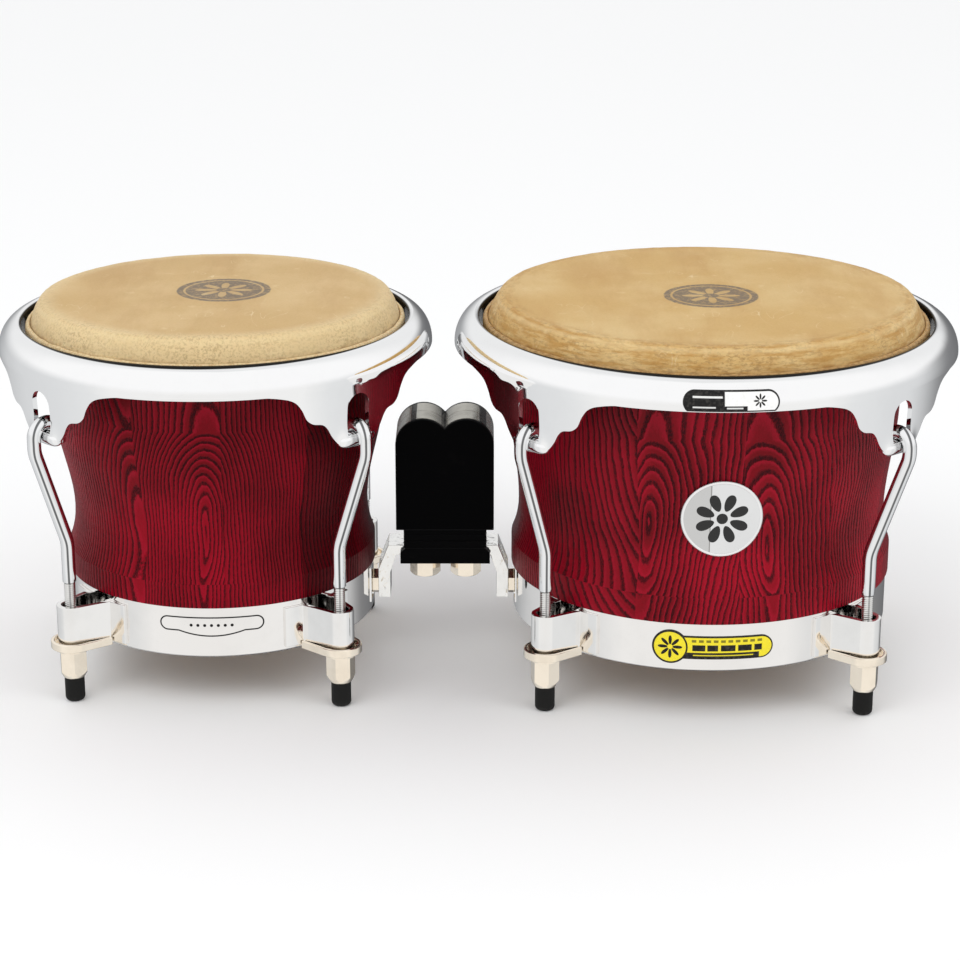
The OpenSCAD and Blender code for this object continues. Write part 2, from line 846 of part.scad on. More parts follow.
// ---------- nodes: centre block ----------
module block_front_plate()
    color(block_grey) on_block() block_plate(-plate_y, -seam);
module block_rear_plate()
    color(block_grey) on_block() block_plate(seam, plate_y);
module block_front_cover()
    color(cover_black) on_block() block_slab(-block_depth, -plate_y);
module block_rear_cover()
    color(cover_black) on_block() block_slab(plate_y, block_depth);
module block_pins()
    color(pin_steel) on_block() pin_pair(pin_r, plate_y - 0.1);
module block_saddle()
    color(clamp_black) on_block() saddle();
module clamp_plate()
    color(clamp_black) on_block() clamp_body();
module clamp_bolts()
    color(bolt_plating) on_block() at_bolts(washer_low) bolt();
module clamp_washers()
    color(bolt_plating) on_block() at_bolts(washer_low) washer();
module small_arm()
    color(rod_steel) on_block() mirror([1, 0, 0]) arm(arm_out(small_x + block_x, small_ring_r));
module large_arm()
    color(rod_steel) on_block() arm(arm_out(large_x - block_x, large_ring_r));

small_shell();
small_skin();
small_flesh_hoop();
small_rim();
small_tuning_rods();
small_bottom_ring();
small_lug_brackets();
small_cup_plates();
small_mount_plate();
small_mount_stud();
small_mount_nut();
small_nut_1();
small_nut_2();
small_nut_3();
small_nut_4();
small_foot_1();
small_foot_2();
small_foot_3();
small_foot_4();
large_shell();
large_skin();
large_flesh_hoop();
large_rim();
large_tuning_rods();
large_bottom_ring();
large_lug_brackets();
large_cup_plates();
large_mount_plate();
large_mount_stud();
large_mount_nut();
large_nut_1();
large_nut_2();
large_nut_3();
large_nut_4();
large_foot_1();
large_foot_2();
large_foot_3();
large_foot_4();
large_badge();
large_rim_label();
large_ring_label();
block_front_plate();
block_rear_plate();
block_front_cover();
block_rear_cover();
block_pins();
block_saddle();
clamp_plate();
clamp_bolts();
clamp_washers();
small_arm();
large_arm();
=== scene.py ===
# Bongo drums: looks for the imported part. Lengths below are millimetres unless a name says otherwise.
import json
import math
import random

import bmesh
import bpy
from mathutils import Matrix, Vector, noise

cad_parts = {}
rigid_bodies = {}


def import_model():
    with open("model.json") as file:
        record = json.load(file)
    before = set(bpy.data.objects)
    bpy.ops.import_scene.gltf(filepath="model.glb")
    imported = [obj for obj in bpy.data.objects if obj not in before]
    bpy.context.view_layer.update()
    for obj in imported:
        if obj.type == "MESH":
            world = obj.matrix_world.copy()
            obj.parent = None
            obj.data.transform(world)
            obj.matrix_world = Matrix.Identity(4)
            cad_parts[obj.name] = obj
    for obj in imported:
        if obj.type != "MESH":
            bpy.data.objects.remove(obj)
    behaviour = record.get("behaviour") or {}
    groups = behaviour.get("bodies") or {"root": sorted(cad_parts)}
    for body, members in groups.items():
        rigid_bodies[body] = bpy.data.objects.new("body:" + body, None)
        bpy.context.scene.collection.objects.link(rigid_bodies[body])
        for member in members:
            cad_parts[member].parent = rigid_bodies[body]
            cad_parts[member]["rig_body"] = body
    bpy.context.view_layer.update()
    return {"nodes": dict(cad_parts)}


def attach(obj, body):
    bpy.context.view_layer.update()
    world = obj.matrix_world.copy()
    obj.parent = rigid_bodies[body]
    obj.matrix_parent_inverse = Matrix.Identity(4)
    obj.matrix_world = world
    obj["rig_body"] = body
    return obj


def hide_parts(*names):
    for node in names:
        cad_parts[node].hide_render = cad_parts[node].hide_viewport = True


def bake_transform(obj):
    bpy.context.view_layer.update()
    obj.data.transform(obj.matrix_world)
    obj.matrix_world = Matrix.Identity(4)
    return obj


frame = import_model()
NODES = frame["nodes"]
MM = 0.001
random.seed(7)

# ------------------------------------------------------------------ sizes shared with the CAD part
DRUMS = {
    "small": dict(cx=-125.65, edge=82.3, rim=103.5, open=92.3, waist=71.2, upper=80.0,
                  band=74.7, ring=73.9, rod=90.2, turn=-2.8, seam=-24.0, hoop="small_hoop_set"),
    "large": dict(cx=108.85, edge=97.8, rim=120.25, open=108.5, waist=88.95, upper=94.2,
                  band=92.5, ring=91.4, rod=105.9, turn=-1.9, seam=-23.0, hoop="large_hoop_set"),
}
EDGE_Z, HOOP_Z0, HOOP_B, HOOP_TOP, LIP_Z, STEEL = 183.1, 161.2, 13.4, 168.4, 134.3, 2.3
HOOK_R, SLOT_H, EAR_TURN = 6.8, 6.5, -1.1
BLOCK_X = -16.2


def ease(t):
    return t * t * (3 - 2 * t)


def shell_r(z, d):
    if z > 136:
        return d["upper"] + (d["edge"] - d["upper"]) * (z - 136) / (EDGE_Z - 136)
    if z > 82:
        return d["waist"] + (d["upper"] - d["waist"]) * ease((z - 82) / 54)
    if z > 63.5:
        return d["waist"] + (d["band"] - d["waist"]) * ((82 - z) / 18.5) ** 2.2
    return d["band"]


# ------------------------------------------------------------------ node helpers
class Tree:
    """Short names for building shader trees."""

    def __init__(self, tree):
        self.t = tree
        self.x = 0

    def node(self, kind, **props):
        n = self.t.nodes.new(kind)
        self.x += 40
        n.location = (self.x, 0)
        for k, v in props.items():
            setattr(n, k, v)
        return n

    def put(self, socket, value):
        if isinstance(value, bpy.types.NodeSocket):
            self.t.links.new(value, socket)
        elif value is not None:
            if socket.type in ("RGBA",) and len(value) == 3:
                value = (*value, 1.0)
            socket.default_value = value

    def m(self, op, a, b=None, c=None, clamp=False):
        n = self.node("ShaderNodeMath", operation=op, use_clamp=clamp)
        for s, v in zip(n.inputs, (a, b, c)):
            self.put(s, v)
        return n.outputs[0]

    def vec(self, x, y, z):
        n = self.node("ShaderNodeCombineXYZ")
        for s, v in zip(n.inputs, (x, y, z)):
            self.put(s, v)
        return n.outputs[0]

    def xyz(self, v):
        n = self.node("ShaderNodeSeparateXYZ")
        self.put(n.inputs[0], v)
        return n.outputs

    def rng(self, v, a, b, c=0.0, d=1.0, smooth=True):
        n = self.node("ShaderNodeMapRange", interpolation_type="SMOOTHSTEP" if smooth else "LINEAR")
        for s, w in zip(n.inputs, (v, a, b, c, d)):
            self.put(s, w)
        return n.outputs[0]

    def noise(self, v, scale, detail=2.0, rough=0.5, distort=0.0, dims="3D"):
        n = self.node("ShaderNodeTexNoise", noise_dimensions=dims)
        self.put(n.inputs["Vector"], v)
        self.put(n.inputs["Scale"], scale)
        self.put(n.inputs["Detail"], detail)
        self.put(n.inputs["Roughness"], rough)
        self.put(n.inputs["Distortion"], distort)
        return n.outputs["Fac"]

    def voronoi(self, v, scale, feature="F1"):
        n = self.node("ShaderNodeTexVoronoi", feature=feature)
        self.put(n.inputs["Vector"], v)
        self.put(n.inputs["Scale"], scale)
        return n.outputs["Distance"]

    def mix(self, f, a, b, blend="MIX"):
        n = self.node("ShaderNodeMix", data_type="RGBA", blend_type=blend)
        n.clamp_factor = True
        self.put(n.inputs[0], f)
        self.put(n.inputs[6], a)
        self.put(n.inputs[7], b)
        return n.outputs[2]

    def ramp(self, f, stops, interp="LINEAR"):
        n = self.node("ShaderNodeValToRGB")
        n.color_ramp.interpolation = interp
        e = n.color_ramp.elements
        while len(e) < len(stops):
            e.new(0.5)
        for i, (p, c) in enumerate(stops):
            e[i].position = p
            e[i].color = (*c, 1.0) if len(c) == 3 else c
        self.put(n.inputs[0], f)
        return n.outputs[0]

    def bump(self, h, dist, strength=1.0, normal=None):
        n = self.node("ShaderNodeBump")
        self.put(n.inputs["Strength"], strength)
        self.put(n.inputs["Distance"], dist)
        self.put(n.inputs["Height"], h)
        if normal is not None:
            self.put(n.inputs["Normal"], normal)
        return n.outputs[0]


def material(name):
    mat = bpy.data.materials.new(name)
    mat.use_nodes = True
    t = Tree(mat.node_tree)
    bsdf = mat.node_tree.nodes["Principled BSDF"]
    return mat, t, bsdf


def coords_mm(t, cx=0.0):
    """Object coordinates in millimetres, from the drum's axis."""
    tc = t.node("ShaderNodeTexCoord")
    n = t.node("ShaderNodeVectorMath", operation="MULTIPLY_ADD")
    t.put(n.inputs[0], tc.outputs["Object"])
    n.inputs[1].default_value = (1000, 1000, 1000)
    n.inputs[2].default_value = (-cx, 0, 0)
    return n.outputs[0]


def scaled(t, v, sx, sy, sz):
    n = t.node("ShaderNodeVectorMath", operation="MULTIPLY")
    t.put(n.inputs[0], v)
    n.inputs[1].default_value = (sx, sy, sz)
    return n.outputs[0]


def srgb(r, g, b):
    return tuple(((c / 255) / 12.92) if c / 255 <= 0.04045 else (((c / 255) + 0.055) / 1.055) ** 2.4 for c in (r, g, b))


# ------------------------------------------------------------------ materials
def wood_material(key):
    d = DRUMS[key]
    mat, t, b = material(f"{key}_stained_ash")
    p = coords_mm(t, d["cx"])
    x, y, z = t.xyz(p)
    r = t.m("SQRT", t.m("ADD", t.m("MULTIPLY", x, x), t.m("MULTIPLY", y, y)))
    deg = t.m("MULTIPLY", t.m("ARCTAN2", y, x), 180 / math.pi)
    around = t.m("WRAP", t.m("ADD", deg, 90.0 - d["seam"]), 360.0, 0.0)
    k = t.m("FLOOR", t.m("DIVIDE", around, 30.0))
    psi = t.m("MULTIPLY", t.m("SUBTRACT", t.m("SUBTRACT", around, t.m("MULTIPLY", k, 30.0)), 15.0), math.pi / 180)
    n = t.m("SUBTRACT", t.m("MULTIPLY", r, t.m("COSINE", psi)), r)
    s = t.m("MULTIPLY", r, t.m("SINE", psi))
    # one entry a stave: where the heart of the tree lay (mm along and below the face), how the grain leans in and
    # sideways, ring width in mm, and a tone factor; the tone is partly how much stain the board took and partly painted
    # shade, darker on the staves that face the other drum and the block
    if key == "small":
        front = {0: (11, 1.0, 0.06, 0.02, 1.75, 0.90), 1: (-26, 1.0, 0.05, -0.02, 1.75, 0.78), 11: (15, 7, -0.10, 0.02, 1.9, 0.96),
                 2: (-38, 6, 0.05, 0.0, 2.2, 0.42), 10: (30, 16, 0.06, 0.0, 1.6, 0.9), 3: (24, 10, 0.1, 0.02, 2.0, 0.62)}
    else:
        front = {0: (-18, 1.5, 0.07, 0.14, 2.6, 1.0), 11: (25, 16, -0.42, 0.05, 2.9, 0.84), 1: (-11, 2.5, 0.10, -0.06, 2.6, 1.04),
                 2: (-44, 8, 0.04, 0.03, 2.0, 1.1), 10: (36, 14, -0.08, 0.0, 2.0, 0.8), 3: (20, 9, -0.1, 0.0, 2.2, 0.9)}
    one, two = [], []
    for i in range(12):
        c = front.get(i, (random.choice((-1, 1)) * random.uniform(4, 38), random.uniform(4, 24), random.uniform(-0.2, 0.2),
                          random.uniform(-0.06, 0.06), random.uniform(1.6, 2.4), random.uniform(0.75, 1.05)))
        one.append((i / 12, (c[0] / 120 + 0.5, c[1] / 80, c[2] + 0.5)))
        two.append((i / 12, (c[3] + 0.5, c[4] / 4, c[5] / 2)))
    where = t.m("DIVIDE", t.m("ADD", k, 0.5), 12.0)
    sep, sep2 = t.node("ShaderNodeSeparateColor"), t.node("ShaderNodeSeparateColor")
    t.put(sep.inputs[0], t.ramp(where, one, "CONSTANT"))
    t.put(sep2.inputs[0], t.ramp(where, two, "CONSTANT"))
    heart_s = t.m("MULTIPLY_ADD", sep.outputs[0], 120.0, -60.0)
    heart_n = t.m("MULTIPLY", sep.outputs[1], 80.0)
    up = t.m("SUBTRACT", z, 100.0)
    lean_n = t.m("MULTIPLY", t.m("SUBTRACT", sep.outputs[2], 0.5), up)
    lean_s = t.m("MULTIPLY", t.m("SUBTRACT", sep2.outputs[0], 0.5), up)
    width = t.m("MULTIPLY", sep2.outputs[1], 4.0)
    stain_and_shade = t.m("MULTIPLY", sep2.outputs[2], 2.0)
    kz = t.m("MULTIPLY", k, 37.0)
    # slow waves of the grain, different in each stave
    slow_v = t.vec(t.m("MULTIPLY", r, 0.030), t.m("MULTIPLY_ADD", s, 0.030, kz), t.m("MULTIPLY", z, 0.013))
    slow = t.m("SUBTRACT", t.noise(slow_v, 1.0, 1.0, 0.4), 0.5)
    mid_v = t.vec(t.m("MULTIPLY", r, 0.09), t.m("MULTIPLY_ADD", s, 0.09, kz), t.m("MULTIPLY", z, 0.042))
    mid = t.m("SUBTRACT", t.noise(mid_v, 1.0, 1.5, 0.5), 0.5)
    fine_v = t.vec(t.m("MULTIPLY", x, 0.9), t.m("MULTIPLY", y, 0.9), t.m("MULTIPLY", z, 0.42))
    fine = t.m("SUBTRACT", t.noise(fine_v, 1.0, 2.0, 0.6), 0.5)
    # the hollow of the waist cuts deeper into the board than the neck above it and the band below it
    neck = t.m("POWER", t.rng(z, 84.0, 139.0, smooth=False), 1.8)
    foot = t.m("POWER", t.rng(z, 86.0, 63.5, smooth=False), 1.5)
    foot = t.m("MULTIPLY", foot, t.m("SUBTRACT", 1.0, t.m("MULTIPLY", t.m("LESS_THAN", z, 63.4), 0.45)))
    cut = t.m("ADD", t.m("MULTIPLY", neck, 15.0 if key == "small" else 12.0), t.m("MULTIPLY", foot, -2.5 if key == "small" else -4.0))
    pn = t.m("ADD", t.m("ADD", t.m("ADD", n, cut), heart_n), lean_n)
    ps = t.m("SUBTRACT", t.m("SUBTRACT", s, heart_s), lean_s)
    pn = t.m("ADD", pn, t.m("MULTIPLY", slow, 3.0))
    ps = t.m("ADD", ps, t.m("MULTIPLY", mid, 3.2 if key == "small" else 5.0))
    rings = t.m("DIVIDE", t.m("SQRT", t.m("ADD", t.m("MULTIPLY", pn, pn), t.m("MULTIPLY", ps, ps))), width)
    rings = t.m("ADD", rings, t.m("MULTIPLY", slow, 1.3))
    rings = t.m("ADD", rings, t.m("MULTIPLY", fine, 0.34))
    f = t.m("FRACT", rings)
    # sharp spring edge, then a fade into the hard summer wood
    line = t.m("MULTIPLY", t.rng(f, 0.0, 0.10), t.rng(f, 0.26, 0.50, 1.0, 0.0))
    pore_v = t.vec(t.m("MULTIPLY", x, 2.6), t.m("MULTIPLY", y, 2.6), t.m("MULTIPLY", z, 0.50))
    pores = t.noise(pore_v, 1.0, 3.0, 0.65)
    hair_v = t.vec(t.m("MULTIPLY", x, 1.3), t.m("MULTIPLY", y, 1.3), t.m("MULTIPLY", z, 1.0))
    hair = t.noise(hair_v, 1.0, 3.0, 0.7)
    line = t.m("MULTIPLY", line, t.rng(pores, 0.30, 0.56, 0.45, 1.0))
    line = t.m("MULTIPLY", line, t.rng(hair, 0.32, 0.55, 0.55, 1.0), clamp=True)
    streak = t.m("MULTIPLY", t.rng(pores, 0.55, 0.75), 0.28)
    dark = t.m("MAXIMUM", line, streak)
    patch = t.noise(p, 0.021, 2.0, 0.5)
    red = t.mix(t.rng(patch, 0.32, 0.68), srgb(104, 0, 12), srgb(148, 3, 28))
    red = t.mix(t.m("MULTIPLY", t.rng(f, 0.62, 0.97), 0.4), red, srgb(172, 14, 44))
    wood = t.mix(t.m("MULTIPLY", dark, 0.90), red, t.mix(t.rng(patch, 0.35, 0.7), srgb(24, 0, 5), srgb(46, 8, 14)))
    # painted shade: the stave tone darkens the staves that face the other drum and the block, on top of the stain each
    # board took
    wood = t.mix(1.0, wood, t.vec(stain_and_shade, stain_and_shade, stain_and_shade), "MULTIPLY")
    # bare ash inside and on the edges that carry the skin and the ring
    low, high = d["ring"] - 12.3 + 3, d["edge"] - 10.8 + 3
    limit = t.rng(z, 29.0, 176.0, low, high, smooth=False)
    inside = t.m("MAXIMUM", t.m("LESS_THAN", r, limit), t.m("GREATER_THAN", z, EDGE_Z - 1.4))
    bare = t.mix(t.m("MULTIPLY", dark, 0.5), srgb(214, 180, 134), srgb(160, 118, 76))
    col = t.mix(inside, wood, bare)
    t.put(b.inputs["Base Color"], col)
    rough = t.m("MULTIPLY_ADD", dark, 0.20, 0.36)
    t.put(b.inputs["Roughness"], t.m("ADD", rough, t.m("MULTIPLY", fine, 0.12)))
    b.inputs["Specular IOR Level"].default_value = 0.09 if key == "small" else 0.12
    height = t.m("MULTIPLY_ADD", line, -1.0, t.m("MULTIPLY", pores, 0.25))
    t.put(b.inputs["Normal"], t.bump(height, 0.00032, 0.9))
    return mat


def skin_material(key, stamp_xy, stamp_r):
    d = DRUMS[key]
    mat, t, b = material(f"{key}_hide")
    p = coords_mm(t, d["cx"])
    x, y, z = t.xyz(p)
    r = t.m("SQRT", t.m("ADD", t.m("MULTIPLY", x, x), t.m("MULTIPLY", y, y)))
    ang = t.m("ARCTAN2", y, x)
    cloud = t.noise(p, 0.018, 3.0, 0.55)
    streak_v = scaled(t, p, 0.05, 0.012, 0.05)
    streaks = t.noise(streak_v, 1.0, 4.0, 0.6)
    grain = t.noise(p, 0.9, 4.0, 0.7)
    speck = t.voronoi(p, 1.1)
    if key == "small":
        a, c, e = srgb(222, 184, 132), srgb(209, 168, 112), srgb(190, 144, 88)
    else:
        a, c, e = srgb(223, 186, 130), srgb(211, 168, 104), srgb(193, 143, 78)
    col = t.mix(t.rng(cloud, 0.35, 0.68), a, c)
    col = t.mix(t.m("MULTIPLY", t.rng(streaks, 0.42, 0.72), 0.5), col, e)
    col = t.mix(t.m("MULTIPLY", t.rng(grain, 0.5, 0.72), 0.16), col, srgb(168, 124, 74))
    # a few pale scratches and old marks
    scr_v = t.vec(t.m("MULTIPLY", x, 0.035), t.m("MULTIPLY", y, 0.016), 4.0)
    scr = t.m("ABSOLUTE", t.m("SUBTRACT", t.noise(scr_v, 1.0, 3.0, 0.55, 0.6), 0.47))
    scr = t.m("MULTIPLY", t.rng(scr, 0.0, 0.0035, 1.0, 0.0), t.rng(t.noise(p, 0.06, 1.0), 0.52, 0.66))
    col = t.mix(t.m("MULTIPLY", scr, 0.55), col, srgb(240, 214, 172))
    blot = t.rng(t.noise(p, 0.085, 3.0, 0.6), 0.64, 0.74)
    col = t.mix(t.m("MULTIPLY", blot, 0.30), col, srgb(236, 206, 158))
    # collar: darker speckle where the hair side is left rough
    rim_v = t.vec(t.m("MULTIPLY", ang, d["edge"] * (0.85 if key == "small" else 0.40)), t.m("MULTIPLY", r, 0.5), t.m("MULTIPLY", z, 0.95))
    coarse = t.noise(rim_v, 1.0, 4.0, 0.72)
    tan_v = t.vec(t.m("MULTIPLY", ang, d["edge"] * 0.075), t.m("MULTIPLY", r, 0.32), t.m("MULTIPLY", z, 0.5))
    bands = t.noise(tan_v, 1.0, 3.0, 0.6)
    near = t.rng(r, d["edge"] - 10.0, d["edge"] + 2.0)
    patchy = t.rng(t.noise(t.vec(t.m("MULTIPLY", ang, 1.6), 0.0, 0.0), 1.0, 2.0), 0.36, 0.62, 0.35, 1.0)
    amount = t.m("MULTIPLY", t.m("MULTIPLY", near, t.rng(coarse, 0.46, 0.62)), patchy)
    # painted light: on the small drum the collar is lightened towards a pale hide colour, to offset the shade on its
    # steep front-facing slope
    col = t.mix(t.m("MULTIPLY", near, 0.55 if key == "small" else 0.0), col, srgb(246, 218, 172))
    col = t.mix(t.m("MULTIPLY", amount, 0.50), col, srgb(150, 114, 74) if key == "small" else srgb(134, 96, 52))
    golden = t.m("MULTIPLY", near, t.rng(bands, 0.42, 0.62))
    col = t.mix(t.m("MULTIPLY", golden, 0.60 if key == "large" else 0.16), col, srgb(182, 128, 52) if key == "large" else srgb(224, 188, 136))
    pale = t.m("MULTIPLY", t.rng(r, d["edge"] + 0.4, d["edge"] + 1.4), t.rng(r, d["edge"] + 1.6, d["edge"] + 3.0, 1.0, 0.0))
    col = t.mix(t.m("MULTIPLY", pale, 0.35), col, srgb(238, 208, 160))
    # the outer roll is paler, with painted shade in the crease inside it
    bead = d["open"] - 3.4
    roll = t.rng(r, bead - 0.5, bead + 0.3)
    col = t.mix(t.m("MULTIPLY", roll, 0.75), col, t.mix(t.rng(coarse, 0.4, 0.65), *((srgb(240, 210, 166), srgb(214, 170, 118)) if key == "small" else (srgb(192, 150, 98), srgb(140, 100, 60)))))
    crease = t.rng(t.m("ABSOLUTE", t.m("SUBTRACT", r, bead - 0.95)), 0.0, 0.55, 1.0, 0.0)
    col = t.mix(t.m("MULTIPLY", crease, 0.62), col, srgb(120, 78, 44))
    # generic worn ink stamp: disc, thin ring and an eight-petal rosette
    sx, sy = stamp_xy
    ux = t.m("SUBTRACT", x, sx)
    uy = t.m("SUBTRACT", y, sy)
    sr = t.m("SQRT", t.m("ADD", t.m("MULTIPLY", ux, ux), t.m("MULTIPLY", uy, uy)))
    sa = t.m("ARCTAN2", uy, ux)
    wobble = t.m("MULTIPLY_ADD", t.noise(p, 0.5, 3.0, 0.6), 0.9, sr)
    disc = t.rng(wobble, stamp_r + 0.1, stamp_r + 0.9, 1.0, 0.0)
    ringline = t.rng(t.m("ABSOLUTE", t.m("SUBTRACT", sr, stamp_r * 0.84)), 0.35, 0.75, 1.0, 0.0)
    petal = t.m("MULTIPLY", t.m("ABSOLUTE", t.m("COSINE", t.m("MULTIPLY", sa, 4.0))), stamp_r * 0.62)
    rosette = t.m("MULTIPLY", t.rng(t.m("SUBTRACT", petal, sr), -0.4, 0.6), t.rng(sr, stamp_r * 0.14, stamp_r * 0.2))
    hollow = t.m("MAXIMUM", ringline, rosette)
    worn = t.rng(t.noise(p, 0.55, 4.0, 0.75), 0.34, 0.52, 0.45, 1.0)
    ink = t.m("MULTIPLY", t.m("MULTIPLY", disc, worn), t.m("SUBTRACT", 1.0, t.m("MULTIPLY", hollow, 0.78)), clamp=True)
    col = t.mix(t.m("MULTIPLY", ink, 0.86), col, srgb(104, 90, 80))
    warm = (0.92, 0.985, 0.98) if key == "small" else (0.92, 0.965, 0.93)
    col = t.mix(1.0, col, (0.97 * warm[0], 0.97 * warm[1], 0.97 * warm[2]), "MULTIPLY")
    t.put(b.inputs["Base Color"], col)
    t.put(b.inputs["Roughness"], t.m("MULTIPLY_ADD", grain, 0.22, 0.42))
    b.inputs["Specular IOR Level"].default_value = 0.32
    b.inputs["Subsurface Weight"].default_value = 0.10
    b.inputs["Subsurface Scale"].default_value = 0.004
    b.inputs["Subsurface Radius"].default_value = (1.0, 0.55, 0.3)
    h = t.m("ADD", t.m("MULTIPLY", grain, 0.35), t.m("MULTIPLY", t.m("MULTIPLY", near, coarse), 1.4))
    h = t.m("SUBTRACT", h, t.m("MULTIPLY", t.rng(speck, 0.0, 0.25, 1.0, 0.0), 0.10))
    t.put(b.inputs["Normal"], t.bump(h, 0.00022, 0.8))
    return mat


def metal_material(name, color, rough, wave=0.25, scale=0.02, spots=0.0, tint=None, grime=0.12, line=0.0, brushed=0.0,
                   gap=None, banner=None, split=None, bars=()):
    """Plated metal: slow waves from pressing, fine pits, slight haze in patches."""
    mat, t, b = material(name)
    p = coords_mm(t)
    base = color
    slow = t.noise(p, scale, 2.0, 0.5)
    fine = t.noise(p, 1.6, 4.0, 0.7)
    haze = t.rng(t.noise(p, 0.06, 3.0, 0.6), 0.42, 0.72)
    col = t.mix(t.m("MULTIPLY", haze, grime), base, tint or tuple(c * 0.72 for c in color))
    if line:
        # painted reflection: a dark strip down the middle of slim round parts, as from the unlit side of a studio,
        # placed by the normal as the camera sees it
        geo = t.node("ShaderNodeNewGeometry")
        vt = t.node("ShaderNodeVectorTransform", vector_type="NORMAL", convert_from="WORLD", convert_to="CAMERA")
        t.put(vt.inputs[0], geo.outputs["Normal"])
        nx = t.xyz(vt.outputs[0])[0]
        mid = t.m("ABSOLUTE", t.m("SUBTRACT", nx, 0.10))
        strip = t.m("MULTIPLY", t.rng(mid, 0.10, 0.20, 1.0, 0.0), line)
        col = t.mix(strip, col, (0.03, 0.032, 0.035))
        # painted reflection: the silhouette edges, where the camera-space normal turns sideways, are mixed towards dark
        # grey
        edge = t.m("MULTIPLY", t.rng(t.m("ABSOLUTE", nx), 0.80, 0.98), line * 0.6)
        col = t.mix(edge, col, (0.18, 0.18, 0.19))
    dull = None
    if gap:
        # painted shade: a near-black band on the hoop's inner lip, standing in for the shadow in the narrow gap under
        # the rolled edge of the skin and its dark reflection in the chrome, widened towards the front, which faces the
        # camera
        gx, gy, gz = t.xyz(p)
        gx = t.m("SUBTRACT", gx, DRUMS[gap]["cx"])
        gr = t.m("SQRT", t.m("ADD", t.m("MULTIPLY", gx, gx), t.m("MULTIPLY", gy, gy)))
        near = t.m("MAXIMUM", t.m("MULTIPLY", t.m("DIVIDE", gy, gr), -1.0), 0.0)
        gap_shade = t.m("SUBTRACT", gr, t.m("MULTIPLY", t.m("POWER", near, 1.4), 3.9))
        gap_shade = t.m("MULTIPLY", t.rng(gap_shade, DRUMS[gap]["open"] + 0.35, DRUMS[gap]["open"] + 0.95, 1.0, 0.0), t.m("GREATER_THAN", gz, HOOP_TOP - 1))
        col = t.mix(gap_shade, col, (0.004, 0.0035, 0.003))
        dull = gap_shade
    if banner:
        # a thin printed outline with a row of dots, on the front of the ring
        bx, by, bz = t.xyz(p)
        u = t.m("SUBTRACT", t.m("SUBTRACT", bx, DRUMS[banner]["cx"]), 0.8)
        v = t.m("SUBTRACT", bz, 43.3)
        au = t.m("ABSOLUTE", u)
        q = t.m("MAXIMUM", t.m("SUBTRACT", au, 20.8), 0.0)
        bulge = t.m("MAXIMUM", t.m("SUBTRACT", 2.5, t.m("MULTIPLY", t.m("MULTIPLY", u, u), 2.5 / 15.5 ** 2)), 0.0)
        d_in = t.m("MAXIMUM", t.m("SUBTRACT", v, 3.3), t.m("SUBTRACT", t.m("SUBTRACT", t.m("MULTIPLY", v, -1.0), 3.3), bulge))
        d_end = t.m("SUBTRACT", t.m("SQRT", t.m("ADD", t.m("MULTIPLY", q, q), t.m("MULTIPLY", v, v))), 3.3)
        past = t.m("GREATER_THAN", au, 20.8)
        dd = t.m("ADD", t.m("MULTIPLY", d_in, t.m("SUBTRACT", 1.0, past)), t.m("MULTIPLY", d_end, past))
        out = t.rng(t.m("ABSOLUTE", dd), 0.26, 0.44, 1.0, 0.0)
        du = t.m("SUBTRACT", t.m("MODULO", t.m("ADD", au, 1.6), 3.2), 1.6)
        dv = t.m("ADD", v, 0.5)
        dots = t.m("SQRT", t.m("ADD", t.m("MULTIPLY", du, du), t.m("MULTIPLY", dv, dv)))
        dots = t.m("MULTIPLY", t.rng(dots, 0.65, 0.85, 1.0, 0.0), t.m("LESS_THAN", au, 11.2))
        mark = t.m("MULTIPLY", t.m("MAXIMUM", out, dots), t.m("LESS_THAN", by, 0.0))
        col = t.mix(mark, col, (0.012, 0.012, 0.012))
        dull = mark
    for bx0, bw in bars:
        # dark upright bands on the alloy plates: the two outer ones are painted reflections of the dark surroundings in
        # the polished metal, the third lies near the block's middle
        band = t.rng(t.m("ABSOLUTE", t.m("SUBTRACT", t.xyz(p)[0], bx0)), bw - 0.2, bw + 0.2, 1.0, 0.0)
        col = t.mix(t.m("MULTIPLY", band, 0.94), col, (0.008, 0.008, 0.008))
        dull = band if dull is None else t.m("MAXIMUM", dull, band)
    if split:
        # two brushed fields meeting in a fine upright line
        sx = t.m("SUBTRACT", t.xyz(p)[0], split)
        left = t.rng(sx, -0.25, 0.25, 1.0, 0.0)
        col = t.mix(t.m("MULTIPLY", left, 0.55), col, (0.50, 0.50, 0.49))
        col = t.mix(t.rng(t.m("ABSOLUTE", sx), 0.12, 0.35, 0.8, 0.0), col, (0.22, 0.21, 0.20))
    b.inputs["Metallic"].default_value = 1.0
    if dull is not None:
        t.put(b.inputs["Metallic"], t.m("SUBTRACT", 1.0, dull))
        b.inputs["Specular IOR Level"].default_value = 0.06
    t.put(b.inputs["Base Color"], col)
    rv = t.m("MULTIPLY_ADD", haze, rough * 0.6, rough * 0.7)
    rv = t.m("ADD", rv, t.m("MULTIPLY", t.rng(fine, 0.55, 0.8), 0.10))
    t.put(b.inputs["Roughness"], rv)
    h = t.m("MULTIPLY_ADD", slow, wave, t.m("MULTIPLY", fine, 0.004 + spots))
    if brushed:
        bv = scaled(t, p, 0.05, 0.05, 4.0)
        h = t.m("ADD", h, t.m("MULTIPLY", t.noise(bv, 1.0, 3.0, 0.6), brushed))
    t.put(b.inputs["Normal"], t.bump(h, 0.001, 0.5))
    return mat


